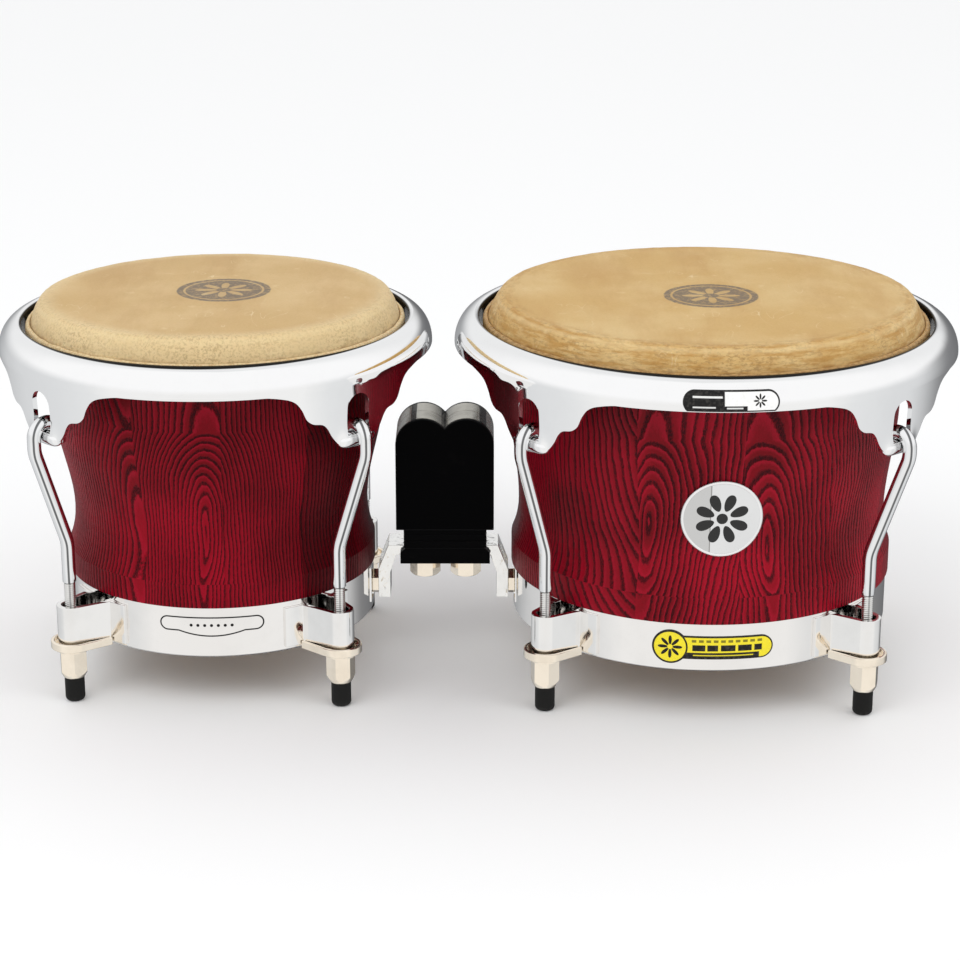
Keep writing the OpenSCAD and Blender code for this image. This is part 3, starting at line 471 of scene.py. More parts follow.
def black_material(name, rough=0.36, bump=0.05, col=(0.0012, 0.0012, 0.0014)):
    mat, t, b = material(name)
    p = coords_mm(t)
    g = t.noise(p, 2.2, 3.0, 0.6)
    wear = t.rng(t.noise(p, 0.09, 4.0, 0.65), 0.6, 0.75)
    worn = t.mix(t.m("MULTIPLY", wear, 0.3), col, (0.006, 0.0055, 0.0055))
    # painted highlight: rounded edges and other faces not square to the axes are a shade lighter than the flats, to
    # show the form
    face = t.node("ShaderNodeNewGeometry")
    fx, fy, fz = t.xyz(face.outputs["Normal"])
    flat = t.m("MAXIMUM", t.m("MAXIMUM", t.m("ABSOLUTE", fx), t.m("ABSOLUTE", fy)), t.m("ABSOLUTE", fz))
    t.put(b.inputs["Base Color"], t.mix(t.m("MULTIPLY", t.rng(flat, 0.985, 0.90), 0.8), worn, (0.020, 0.020, 0.021)))
    t.put(b.inputs["Roughness"], t.m("ADD", t.m("MULTIPLY_ADD", g, 0.16, rough - 0.08), t.m("MULTIPLY", wear, 0.12)))
    b.inputs["Specular IOR Level"].default_value = 0.02
    t.put(b.inputs["Normal"], t.bump(g, 0.001, bump))
    return mat


def rubber_material():
    mat, t, b = material("foot_rubber")
    p = coords_mm(t)
    g = t.noise(p, 3.0, 3.0, 0.65)
    low = t.rng(t.xyz(p)[2], 0.3, 3.5, 1.0, 0.0)
    dust = t.m("MULTIPLY", low, t.rng(t.noise(p, 0.8, 3.0), 0.42, 0.62))
    t.put(b.inputs["Base Color"], t.mix(t.m("MULTIPLY", dust, 0.35), (0.005, 0.0048, 0.0044), (0.05, 0.047, 0.042)))
    t.put(b.inputs["Roughness"], t.m("MULTIPLY_ADD", g, 0.2, 0.55))
    b.inputs["Specular IOR Level"].default_value = 0.22
    t.put(b.inputs["Normal"], t.bump(g, 0.0004, 0.35))
    return mat


def film_material(name, col, rough=0.28):
    mat, t, b = material(name)
    p = coords_mm(t)
    g = t.noise(p, 0.8, 2.0, 0.5)
    t.put(b.inputs["Base Color"], t.mix(t.m("MULTIPLY", g, 0.12), col, tuple(c * 0.7 for c in col)))
    t.put(b.inputs["Roughness"], t.m("MULTIPLY_ADD", g, 0.12, rough - 0.05))
    t.put(b.inputs["Normal"], t.bump(g, 0.0002, 0.2))
    return mat


def label_fields(t, az, z0):
    """Distances across and up a label on the large drum, from the label's middle, in millimetres."""
    x, y, z = t.xyz(coords_mm(t, DRUMS["large"]["cx"]))
    a = math.radians(az)
    u = t.m("ADD", t.m("MULTIPLY", x, math.cos(a)), t.m("MULTIPLY", y, math.sin(a)))
    return u, t.m("SUBTRACT", z, z0)


def length2(t, u, v):
    return t.m("SQRT", t.m("ADD", t.m("MULTIPLY", u, u), t.m("MULTIPLY", v, v)))


def box_field(t, u, v, cu, cv, hu, hv):
    """1 inside a small upright box."""
    a = t.rng(t.m("ABSOLUTE", t.m("SUBTRACT", u, cu)), hu - 0.12, hu + 0.12, 1.0, 0.0)
    return t.m("MULTIPLY", a, t.rng(t.m("ABSOLUTE", t.m("SUBTRACT", v, cv)), hv - 0.12, hv + 0.12, 1.0, 0.0))


def rosette_field(t, u, v, cu, cv, size):
    """1 inside an eight-petal rosette with an open middle."""
    ru, rv = t.m("SUBTRACT", u, cu), t.m("SUBTRACT", v, cv)
    r = length2(t, ru, rv)
    petal = t.m("MULTIPLY", t.m("ABSOLUTE", t.m("COSINE", t.m("MULTIPLY", t.m("ARCTAN2", rv, ru), 4.0))), size)
    return t.m("MULTIPLY", t.rng(t.m("SUBTRACT", petal, r), -0.12, 0.15), t.rng(r, size * 0.18, size * 0.26))


def finish_label(t, b, mat, col, rough):
    g = t.noise(coords_mm(t), 0.8, 3.0, 0.55)
    t.put(b.inputs["Base Color"], t.mix(t.m("MULTIPLY", t.rng(g, 0.45, 0.7), 0.10), col, (0.30, 0.28, 0.24)))
    t.put(b.inputs["Roughness"], t.m("MULTIPLY_ADD", g, 0.14, rough))
    b.inputs["Specular IOR Level"].default_value = 0.25
    t.put(b.inputs["Normal"], t.bump(g, 0.0002, 0.2))
    return mat


def rim_label_material():
    mat, t, b = material("rim_label_print")
    u, v = label_fields(t, 0.9, 165.2)
    q = t.m("MAXIMUM", t.m("SUBTRACT", t.m("ABSOLUTE", u), 16.1), 0.0)
    d = t.m("SUBTRACT", length2(t, q, v), 5.2)
    black = t.m("MAXIMUM", t.rng(d, -0.85, -0.6), t.rng(u, -3.2, -2.8, 1.0, 0.0))
    black = t.m("MAXIMUM", black, t.rng(v, -3.5, -3.3, 1.0, 0.0))
    black = t.m("MAXIMUM", black, t.m("MULTIPLY", t.rng(u, 6.8, 7.2, 1.0, 0.0), t.rng(v, -1.6, -1.3, 1.0, 0.0)))
    pale = t.m("MULTIPLY", box_field(t, u, v, -10.5, 2.3, 6.5, 0.42), 0.9)
    pale = t.m("MAXIMUM", pale, t.m("MULTIPLY", box_field(t, u, v, -12.0, -2.1, 5.0, 0.34), 0.8))
    pale = t.m("MAXIMUM", pale, t.m("MULTIPLY", box_field(t, u, v, 1.5, -2.4, 3.6, 0.34), 0.8))
    black = t.m("MAXIMUM", black, rosette_field(t, u, v, 12.6, 0.7, 3.0))
    black = t.m("MULTIPLY", black, t.m("SUBTRACT", 1.0, pale))
    return finish_label(t, b, mat, t.mix(black, (0.86, 0.86, 0.84), (0.004, 0.004, 0.004)), 0.26)


def ring_label_material():
    mat, t, b = material("ring_label_print")
    u, v = label_fields(t, -0.3, 38.6)
    rc = length2(t, t.m("ADD", u, 19.6), v)
    q = t.m("MAXIMUM", t.m("SUBTRACT", t.m("ABSOLUTE", t.m("SUBTRACT", u, 3.0)), 19.6), 0.0)
    d = t.m("SUBTRACT", length2(t, q, v), 5.6)
    inside = t.rng(rc, 8.0, 8.2, 1.0, 0.0)
    pill = t.m("MAXIMUM", t.rng(d, -0.75, -0.55), t.m("MULTIPLY", t.rng(v, -2.5, -2.3, 1.0, 0.0), t.rng(u, 21.6, 21.9, 1.0, 0.0)))
    for cu, hu in ((-6.4, 3.0), (0.0, 2.5), (7.2, 3.4), (15.0, 3.2), (21.2, 1.8)):
        pill = t.m("MAXIMUM", pill, box_field(t, u, v, cu, -0.1, hu, 1.5))
    dash = t.m("SUBTRACT", t.m("MODULO", t.m("ADD", u, 61.4), 3.4), 1.7)
    dashes = t.m("MULTIPLY", t.rng(t.m("ABSOLUTE", dash), 1.0, 1.2, 1.0, 0.0), t.rng(t.m("ABSOLUTE", t.m("SUBTRACT", v, 3.3)), 0.55, 0.75, 1.0, 0.0))
    dashes = t.m("MULTIPLY", dashes, t.m("MULTIPLY", t.rng(u, -10.0, -9.5), t.rng(u, 23.0, 23.4, 1.0, 0.0)))
    pill = t.m("MAXIMUM", pill, t.m("MULTIPLY", dashes, 0.75))
    pill = t.m("MULTIPLY", pill, t.m("SUBTRACT", 1.0, t.m("MULTIPLY", box_field(t, u, v, 5.0, -3.7, 14.0, 0.28), 0.85)))
    disc = t.m("MAXIMUM", t.rng(rc, 7.15, 7.4), rosette_field(t, u, v, -19.6, 0.0, 5.6))
    black = t.m("ADD", t.m("MULTIPLY", pill, t.m("SUBTRACT", 1.0, inside)), t.m("MULTIPLY", disc, inside))
    return finish_label(t, b, mat, t.mix(black, srgb(240, 222, 44), (0.006, 0.005, 0.004)), 0.28)


M = {
    "small_wood": wood_material("small"),
    "large_wood": wood_material("large"),
    "small_skin": skin_material("small", (3.7, 3.7), 22.4),
    "large_skin": skin_material("large", (1.8, -7.5), 22.4),
    "small_chrome": metal_material("small_hoop_chrome", (0.955, 0.955, 0.955), 0.04, wave=0.30, grime=0.06, gap="small"),
    "large_chrome": metal_material("large_hoop_chrome", (0.955, 0.955, 0.955), 0.04, wave=0.30, grime=0.06, gap="large"),
    "rod": metal_material("rod_chrome", (0.90, 0.905, 0.91), 0.06, wave=0.10, grime=0.12, line=0.85),
    "thread": metal_material("rod_thread", (0.78, 0.77, 0.75), 0.16, wave=0.05, grime=0.3, line=0.45),
    "small_ring": metal_material("small_ring_chrome", (0.925, 0.905, 0.885), 0.07, wave=0.22, grime=0.12, banner="small"),
    "large_ring": metal_material("large_ring_chrome", (0.925, 0.905, 0.885), 0.07, wave=0.22, grime=0.12),
    "bracket": metal_material("bracket_chrome", (0.91, 0.90, 0.885), 0.08, wave=0.30, scale=0.05, grime=0.16),
    "nickel": metal_material("nickel_plate", (0.99, 0.89, 0.75), 0.15, wave=0.12, scale=0.06, grime=0.18, tint=(0.60, 0.48, 0.34)),
    "cast": metal_material("cast_chrome", (0.93, 0.92, 0.90), 0.13, wave=1.1, scale=0.22, spots=0.05, grime=0.30),
    "steel": metal_material("plain_steel", (0.55, 0.54, 0.52), 0.28, wave=0.1, grime=0.3, brushed=0.02),
    "alloy": metal_material("block_alloy", (0.42, 0.40, 0.345), 0.22, wave=0.15, scale=0.05, grime=0.3, brushed=0.05, tint=(0.24, 0.22, 0.175),
                            bars=((BLOCK_X - 14.9, 1.3), (BLOCK_X + 18.4, 1.7), (BLOCK_X - 0.6, 1.1))),
    "badge": metal_material("badge_metal", (0.84, 0.845, 0.85), 0.16, wave=0.1, grime=0.1, brushed=0.03, split=105.6),
    "badge_edge": metal_material("badge_edge", (0.93, 0.93, 0.93), 0.10, wave=0.1, grime=0.1),
    "black": black_material("block_coat"),
    "black_cast": black_material("saddle_coat", 0.42, 0.09, (0.0022, 0.0022, 0.0024)),
    "rubber": rubber_material(),
    "ink": film_material("badge_ink", (0.006, 0.006, 0.006), 0.35),
    "rim_label": rim_label_material(),
    "ring_label": ring_label_material(),
}


# ------------------------------------------------------------------ mesh helpers
def add_mesh(name, verts, faces, mats, body, replaces=(), sharp=None, index=None, unit=MM):
    me = bpy.data.meshes.new(name)
    me.from_pydata([(v[0] * unit, v[1] * unit, v[2] * unit) for v in verts], [], faces)
    me.validate()
    for m in mats if isinstance(mats, (list, tuple)) else [mats]:
        me.materials.append(m)
    if index:
        me.polygons.foreach_set("material_index", index)
    me.shade_smooth()
    if sharp:
        me.set_sharp_from_angle(angle=math.radians(sharp))
    me.update()
    o = bpy.data.objects.new(name, me)
    bpy.context.scene.collection.objects.link(o)
    if body:
        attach(o, body)
    if replaces:
        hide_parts(*replaces)
    return o


def fix_normals(o):
    bm = bmesh.new()
    bm.from_mesh(o.data)
    bmesh.ops.remove_doubles(bm, verts=bm.verts, dist=2e-6)
    bmesh.ops.recalc_face_normals(bm, faces=bm.faces)
    bm.to_mesh(o.data)
    bm.free()


def lathe(profile, cx, segs, bend=None, cy=0.0):
    """Closed profile of (r, z) points turned round a vertical axis. bend(r, z, angle, i) may move a point."""
    verts, faces, ids = [], [], []
    for i, (r, z) in enumerate(profile):
        row = []
        if r < 1e-6:
            verts.append((cx, cy, z))
            row = [len(verts) - 1] * segs
        else:
            for j in range(segs):
                a = 2 * math.pi * j / segs
                rr, zz = bend(r, z, a, i) if bend else (r, z)
                verts.append((cx + rr * math.cos(a), cy + rr * math.sin(a), zz))
                row.append(len(verts) - 1)
        ids.append(row)
    n = len(profile)
    for i in range(n):
        a, b = ids[i], ids[(i + 1) % n]
        for j in range(segs):
            k = (j + 1) % segs
            q = [a[j], b[j], b[k], a[k]]
            u = []
            for v in q:
                if v not in u:
                    u.append(v)
            if len(u) > 2:
                faces.append(tuple(u))
    return verts, faces


def finished(node, mat, width, segs=2, angle=28, name=None, sharp=35):
    """The CAD solid with its edges rounded, as a press, a mould or a file leaves them."""
    src = NODES[node]
    bm = bmesh.new()
    bm.from_mesh(src.data)
    bmesh.ops.remove_doubles(bm, verts=bm.verts, dist=2e-6)
    bmesh.ops.dissolve_limit(bm, angle_limit=math.radians(0.6), verts=bm.verts, edges=bm.edges)
    bm.normal_update()
    edges = [e for e in bm.edges if len(e.link_faces) == 2 and e.calc_face_angle(0) > math.radians(angle)]
    if width and edges:
        bmesh.ops.bevel(bm, geom=edges, offset=width * MM, offset_type="OFFSET", segments=segs, profile=0.5,
                        affect="EDGES", clamp_overlap=True, harden_normals=False)
    bmesh.ops.triangulate(bm, faces=[f for f in bm.faces if len(f.verts) > 4])
    bmesh.ops.recalc_face_normals(bm, faces=bm.faces)
    me = bpy.data.meshes.new(name or node + "_metal")
    bm.to_mesh(me)
    bm.free()
    me.materials.append(mat)
    me.shade_smooth()
    me.set_sharp_from_angle(angle=math.radians(sharp))
    o = bpy.data.objects.new(name or node + "_finished", me)
    bpy.context.scene.collection.objects.link(o)
    wn = o.modifiers.new("weighted", "WEIGHTED_NORMAL")
    wn.keep_sharp = True
    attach(o, src["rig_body"])
    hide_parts(node)
    return o


# ------------------------------------------------------------------ skins
def make_skin(key):
    d = DRUMS[key]
    e, op, ride = d["edge"], d["open"], EDGE_Z + 0.05
    bead = op - 3.4
    top = [(0, ride + 1.8)]
    for i in range(1, 26):
        q = i / 26
        top.append(((e - 5) * q, ride + 1.8 - 0.42 * q * q))
    top += [(e - 4, ride + 1.37), (e - 3, ride + 1.34), (e - 2.2, ride + 1.30), (e - 1.4, ride + 1.27), (e - 0.6, ride + 1.12),
            (e + 0.2, ride + 0.86), (e + 0.8, ride + 0.50), (e + 1.3, ride - 0.05), (e + 1.8, ride - 0.75), (e + 2.3, ride - 1.55)]
    p0, p1 = (e + 2.8, ride - 2.4), (bead - 1.25, HOOP_TOP + 5.35)
    for i in range(0, 13):
        q = i / 12
        bulge = 0.35 * math.sin(math.pi * q)
        top.append((p0[0] + (p1[0] - p0[0]) * q + bulge * 0.5, p0[1] + (p1[1] - p0[1]) * q + bulge * 0.5))
    top += [(bead - 0.98, HOOP_TOP + 4.75), (bead - 0.72, HOOP_TOP + 5.15), (bead - 0.3, HOOP_TOP + 5.5), (bead + 0.25, HOOP_TOP + 5.45),
            (bead + 0.8, HOOP_TOP + 5.1), (bead + 1.25, HOOP_TOP + 4.5), (bead + 1.52, HOOP_TOP + 3.7), (bead + 1.6, HOOP_TOP + 2.2),
            (bead + 1.6, HOOP_TOP + 0.02)]
    low = [(bead - 2.0, HOOP_TOP + 0.02), (bead - 2.0, HOOP_TOP + 3.4), (e + 2.3, ride - 5.3), (e + 1.2, ride - 3.2), (e - 0.2, ride - 1.0),
           (e - 1.6, ride - 0.2), (e - 3.3, ride), (e - 6, ride + 0.05), (e * 0.5, ride + 0.45), (0, ride + 0.6)]
    n_top = len(top)

    def bend(r, z, a, i):
        if i >= n_top or r < 8:
            return r, z
        near = min(1.0, max(0.0, (r - (e - 9)) / 11))
        v = Vector((r * math.cos(a), r * math.sin(a), z))
        slow = noise.noise(v * 0.05 + Vector((3.1, 0, 0)))
        lump = noise.noise(v * 0.22 + Vector((0, 7.7, 0)))
        tight = noise.noise(Vector((math.cos(a) * 26, math.sin(a) * 26, z * 0.10)))
        dz = 0.10 * slow * min(1, r / 40)
        dr = near * (0.22 * lump + 0.16 * tight)
        if r > bead - 0.9:
            dr = 0.26 * noise.noise(Vector((math.cos(a) * 9, math.sin(a) * 9, 2.0))) + 0.12 * tight
            dz += 0.22 * noise.noise(Vector((math.cos(a) * 14, math.sin(a) * 14, 5.0)))
            dr = min(dr, 0.2)
        else:
            dz += near * 0.10 * lump
        if r < e + 0.5:
            dr *= 0.5
        return r + dr, z + dz

    v, f = lathe(top + low, d["cx"], 480, bend)
    o = add_mesh(f"{key}_hide_skin", v, f, M[f"{key}_skin"], None, (f"{key}_skin",))
    fix_normals(o)
    o.data.set_sharp_from_angle(angle=math.radians(55))
    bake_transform(o)
    return o


# ------------------------------------------------------------------ counterhoops
EAR = [(48, 161.0), (44, 160.6), (39.5, 159.7), (35.5, 158.5), (32.2, 156.3), (29.4, 152.2), (27.6, 148.3), (24.4, 145.7),
       (19.6, 144.6), (17, 142.2), (14.8, 138.4), (12, 134.8), (9.4, 132.6), (6, 131.6), (3, 131.3), (0, 131.2)]


def smooth_line(pts, per=6):
    """Catmull-Rom through the points."""
    out = []
    for i in range(len(pts) - 1):
        p0 = pts[max(i - 1, 0)]
        p1, p2 = pts[i], pts[i + 1]
        p3 = pts[min(i + 2, len(pts) - 1)]
        for j in range(per):
            t = j / per
            out.append(tuple(0.5 * ((2 * p1[k]) + (-p0[k] + p2[k]) * t + (2 * p0[k] - 5 * p1[k] + 4 * p2[k] - p3[k]) * t * t
                                    + (-p0[k] + 3 * p1[k] - 3 * p2[k] + p3[k]) * t ** 3) for k in range(2)))
    out.append(pts[-1])
    return out


def make_rim(key):
    d = DRUMS[key]
    R, op = d["rim"], d["open"]
    a = R - op - 0.9
    side = smooth_line(EAR)
    W, S = 48.0, SLOT_H
    slot_top, slot_low = LIP_Z + 22 - S, LIP_Z + 3.0

    def low_z(w):
        w = abs(w)
        if w >= W - 0.01:
            return 160.8
        for (w1, z1), (w2, z2) in zip(side, side[1:]):
            if w2 <= w <= w1:
                q = 0 if w1 == w2 else (w1 - w) / (w1 - w2)
                return min(160.8, z1 + (z2 - z1) * q)
        return 131.2

    # columns round the hoop: fine over the ears, with the slot's edges exactly on a column
    cols = []
    n_out = round((W - S) / 0.85)
    outer = [S + (W - S) * q / n_out for q in range(1, n_out + 1)]
    ws = [-w for w in reversed(outer)] + [S * math.sin(math.pi / 2 * q / 9) for q in range(-9, 10)] + outer
    for k in range(4):
        mid = math.radians(EAR_TURN - 45 - 90 * k)
        for w in ws:
            cols.append((mid + math.asin(w / R), w, mid))
        span = math.pi / 2 - 2 * math.asin(W / R)
        steps = max(3, round(math.degrees(span) / 1.0))
        start = mid - math.pi / 2 + math.asin(W / R)
        for i in range(1, steps):
            cols.append((start + span * i / steps, None, mid))
    cols.sort(key=lambda c: -c[0])
    n = len(cols)
    # rows of the outer face: lip, shoulder, then three parts of the ear (above, beside, below the slot)
    head = [(op, HOOP_TOP), (op, 170.6), (op, 172.6), (op + 0.12, 173.5), (op + 0.45, 174.15)]
    head += [(R - a + a * math.cos(math.radians(t)), HOOP_Z0 + HOOP_B * math.sin(math.radians(t)))
             for t in (86, 80, 74, 68, 62, 56, 50, 44, 38, 32, 26, 20, 15, 10, 5, 0)]
    KA, KM, KB = 9, 12, 8
    verts, grid = [], []
    for ang, w, mid in cols:
        col = [(r * math.cos(ang), r * math.sin(ang), z) for r, z in head]
        zl = low_z(w) if w is not None else 160.8
        za = HOOP_Z0 - (HOOP_Z0 - zl) * 0.22
        zb = HOOP_Z0 - (HOOP_Z0 - zl) * 0.80
        if w is not None and abs(w) <= S + 1e-4:
            za = slot_top + math.sqrt(max(0.0, S ** 2 - w * w))
            zb = slot_low
        elif w is not None and abs(w) < 13:
            q = ease((abs(w) - S) / (13 - S))
            za = slot_top * (1 - q) + za * q
            zb = slot_low * (1 - q) + zb * q
        zs = [HOOP_Z0 + (za - HOOP_Z0) * i / KA for i in range(1, KA + 1)]
        zs += [za + (zb - za) * i / KM for i in range(1, KM + 1)]
        zs += [zb + (zl - zb) * i / KB for i in range(1, KB + 1)]
        for z in zs:
            r = R - 2.2 * (HOOP_Z0 - z) / 33
            if w is not None:
                # the foot of each ear is pressed out round the roll the hook hangs on
                beside = math.exp(-(max(0.0, abs(w) - S) / 3.6) ** 2)
                curl = 1.7 * beside * math.exp(-((z - LIP_Z) / (5.2 if z > LIP_Z else 3.0)) ** 2)
                r2 = r + curl
                lx = math.sqrt(r2 * r2 - w * w)
                col.append((lx * math.cos(mid) - w * math.sin(mid), lx * math.sin(mid) + w * math.cos(mid), z))
            else:
                col.append((r * math.cos(ang), r * math.sin(ang), z))
        grid.append(col)
    rows = len(grid[0])
    for col in grid:
        verts += [(x + d["cx"], y, z) for x, y, z in col]
    faces = []
    s0 = len(head) - 1 + KA
    for i in range(n):
        j = (i + 1) % n
        wi, wj = cols[i][1], cols[j][1]
        gap = wi is not None and wj is not None and abs(wi) <= S + 1e-4 and abs(wj) <= S + 1e-4 and abs(wi - wj) < 3
        for k in range(rows - 1):
            if gap and s0 <= k < s0 + KM:
                continue
            faces.append((i * rows + k, i * rows + k + 1, j * rows + k + 1, j * rows + k))
    me = bpy.data.meshes.new(f"{key}_counterhoop")
    me.from_pydata([(x * MM, y * MM, z * MM) for x, y, z in verts], [], faces)
    bm = bmesh.new()
    bm.from_mesh(me)
    bmesh.ops.remove_doubles(bm, verts=bm.verts, dist=3e-5)
    bmesh.ops.recalc_face_normals(bm, faces=bm.faces)
    # outer face must look away from the drum axis
    f0 = max(bm.faces, key=lambda q: (q.calc_center_median() - Vector((d["cx"] * MM, 0, 0))).xy.length)
    if f0.normal.xy.dot((f0.calc_center_median() - Vector((d["cx"] * MM, 0, 0))).xy) < 0:
        bmesh.ops.reverse_faces(bm, faces=bm.faces)
    bm.to_mesh(me)
    bm.free()
    me.materials.append(M[f"{key}_chrome"])
    me.shade_smooth()
    o = bpy.data.objects.new(f"{key}_counterhoop", me)
    bpy.context.scene.collection.objects.link(o)
    s = o.modifiers.new("thick", "SOLIDIFY")
    s.thickness, s.offset, s.use_even_offset, s.thickness_clamp = STEEL * MM, -1, False, 0
    bv = o.modifiers.new("round", "BEVEL")
    bv.width, bv.segments, bv.limit_method, bv.angle_limit = 0.45 * MM, 3, "ANGLE", math.radians(50)
    bv.harden_normals = False
    wn = o.modifiers.new("weighted", "WEIGHTED_NORMAL")
    wn.keep_sharp = False
    wn.weight = 80
    dg = bpy.context.evaluated_depsgraph_get()
    solid = bpy.data.meshes.new_from_object(o.evaluated_get(dg))
    o.modifiers.clear()
    o.data = solid
    # rolled lips the hooks hang on, thinning out into the sheet at both ends
    lip = bmesh.new()
    lip_r = R - 2.2 * (162 - LIP_Z) / 33 - STEEL / 2
    for k in range(4):
        mid = math.radians(EAR_TURN - 45 - 90 * k)
        ring = []
        for i in range(25):
            x = 10.4 * math.sin(math.pi / 2 * (i / 12 - 1))
            r = 0.9 + (HOOK_R - 3.4 - 0.9) * math.sqrt(max(0.0, 1 - abs(x / 10.4) ** 5))
            vs = []
            for j in range(24):
                q = 2 * math.pi * j / 24
                lx, ly, lz = lip_r + r * math.cos(q), x, LIP_Z + r * math.sin(q)
                vs.append(lip.verts.new(((d["cx"] + lx * math.cos(mid) - ly * math.sin(mid)) * MM,
                                         (lx * math.sin(mid) + ly * math.cos(mid)) * MM, lz * MM)))
            ring.append(vs)
        for u, w2 in zip(ring, ring[1:]):
            for j in range(24):
                lip.faces.new((u[j], u[(j + 1) % 24], w2[(j + 1) % 24], w2[j]))
        lip.faces.new(ring[0])
        lip.faces.new(list(reversed(ring[-1])))
    bmesh.ops.recalc_face_normals(lip, faces=lip.faces)
    lm = bpy.data.meshes.new(f"{key}_rolled_lips")
    lip.to_mesh(lm)
    lip.free()
    lm.materials.append(M[f"{key}_chrome"])
    lm.shade_smooth()
    lm.set_sharp_from_angle(angle=math.radians(40))
    lo = bpy.data.objects.new(f"{key}_rolled_lips", lm)
    bpy.context.scene.collection.objects.link(lo)
    for q in (o, lo):
        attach(q, d["hoop"])
        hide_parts(f"{key}_rim")
    return o


# ------------------------------------------------------------------ tuning rods
def bend3(p0, p1, p2, rad, steps=12):
    """Points of an arc that rounds the corner p0-p1-p2."""
    u, v = (p0 - p1).normalized(), (p2 - p1).normalized()
    half = u.angle(v) / 2
    ctr = p1 + (u + v).normalized() * (rad / math.sin(half))
    a, c = p1 + u * (rad / math.tan(half)), p1 + v * (rad / math.tan(half))
    return [ctr + (a - ctr).lerp(c - ctr, i / steps).normalized() * rad for i in range(steps + 1)]


def rod_path(low, rim, twist):
    """Centre line and radius of one rod, in the plane of its bracket; twist turns the hook with its ear."""
    mid = rim - 2.2 * (162 - LIP_Z) / 33 - STEEL / 2
    top = mid + HOOK_R
    ct, st = math.cos(twist), math.sin(twist)

    def up(r, z):
        return Vector((r * ct, r * st, z))

    run = math.hypot(top * ct - low, top * st)
    z2 = 80 + run / math.tan(math.radians(20))
    c = [Vector((low, 0, 60.5)), Vector((low, 0, 80.0)), up(top, z2), up(top, LIP_Z + 4)]
    pts = [Vector((low, 0, 59.6)), Vector((low, 0, 60.1)), Vector((low, 0, 68.0))]
    pts += bend3(c[0], c[1], c[2], 20)
    pts += [(c[1] + c[2]) / 2]
    pts += bend3(c[1], c[2], c[3], 14)
    last = pts[-1]
    if last.z < LIP_Z:
        pts.append(up(top, (last.z + LIP_Z) / 2))
    start = max(0.0, (last.z - LIP_Z) / HOOK_R + 0.02)
    for i in range(0, 27):
        q = start + (math.pi - start) * i / 26
        pts.append(up(mid + HOOK_R * math.cos(q), LIP_Z + HOOK_R * math.sin(q)))
    pts += [up(mid - HOOK_R, LIP_Z - z) for z in (2.2, 3.6, 4.3, 4.6)]
    radii = [3.2] * len(pts)
    radii[0] = 2.75
    radii[-3:] = [3.1, 2.8, 2.2]
    return pts, radii


def make_rods(key):
    d = DRUMS[key]
    verts, faces, index = [], [], []
    seg = 28
    for k in range(4):
        mid = math.radians(d["turn"] - 45 - 90 * k)
        ca, sa = math.cos(mid), math.sin(mid)
        rows = []
        # thread: a real helix, one millimetre a turn
        z = 18.2
        while z <= 59.45:
            row = []
            end = min(1.0, (z - 18.2) / 0.8 + 0.55)
            for j in range(20):
                q = 2 * math.pi * j / 20
                ph = (z - q / (2 * math.pi)) % 1.0
                tooth = 1 - abs(ph * 2 - 1)
                r = (2.34 + 0.38 * min(1.0, tooth * 1.35)) * end
                row.append((d["rod"] + r * math.cos(q), r * math.sin(q), z))
            rows.append((row, 1))
            z += 0.25
        start = len(verts)
        for row, _ in rows:
            for x, y, z in row:
                verts.append((d["cx"] + x * ca - y * sa, x * sa + y * ca, z))
        for i in range(len(rows) - 1):
            for j in range(20):
                q = (j + 1) % 20
                faces.append((start + i * 20 + j, start + i * 20 + q, start + (i + 1) * 20 + q, start + (i + 1) * 20 + j))
                index.append(1)
        faces.append(tuple(start + j for j in reversed(range(20))))
        index.append(1)
        faces.append(tuple(start + (len(rows) - 1) * 20 + j for j in range(20)))
        index.append(1)
        # shank and hook
        pts, radii = rod_path(d["rod"], d["rim"], math.radians(EAR_TURN - d["turn"]))
        start = len(verts)
        side = Vector((0, 1, 0))
        for i, pt in enumerate(pts):
            tg = (pts[min(i + 1, len(pts) - 1)] - pts[max(i - 1, 0)]).normalized()
            side = (side - tg * side.dot(tg)).normalized()
            other = tg.cross(side)
            for j in range(seg):
                q = 2 * math.pi * j / seg
                w = pt + other * (radii[i] * math.cos(q)) + side * (radii[i] * math.sin(q))
                verts.append((d["cx"] + w.x * ca - w.y * sa, w.x * sa + w.y * ca, w.z))
        m = len(pts)
        for i in range(m - 1):
            for j in range(seg):
                q = (j + 1) % seg
                faces.append((start + i * seg + j, start + i * seg + q, start + (i + 1) * seg + q, start + (i + 1) * seg + j))
                index.append(0)
        faces.append(tuple(start + j for j in reversed(range(seg))))
        index.append(0)
        faces.append(tuple(start + (m - 1) * seg + j for j in range(seg)))
        index.append(0)
    o = add_mesh(f"{key}_hook_rods", verts, faces, [M["rod"], M["thread"]], d["hoop"], (f"{key}_tuning_rods",), index=index)
    bm = bmesh.new()
    bm.from_mesh(o.data)
    bmesh.ops.recalc_face_normals(bm, faces=bm.faces)
    bm.to_mesh(o.data)
    bm.free()
    o.data.set_sharp_from_angle(angle=math.radians(60))
    return o


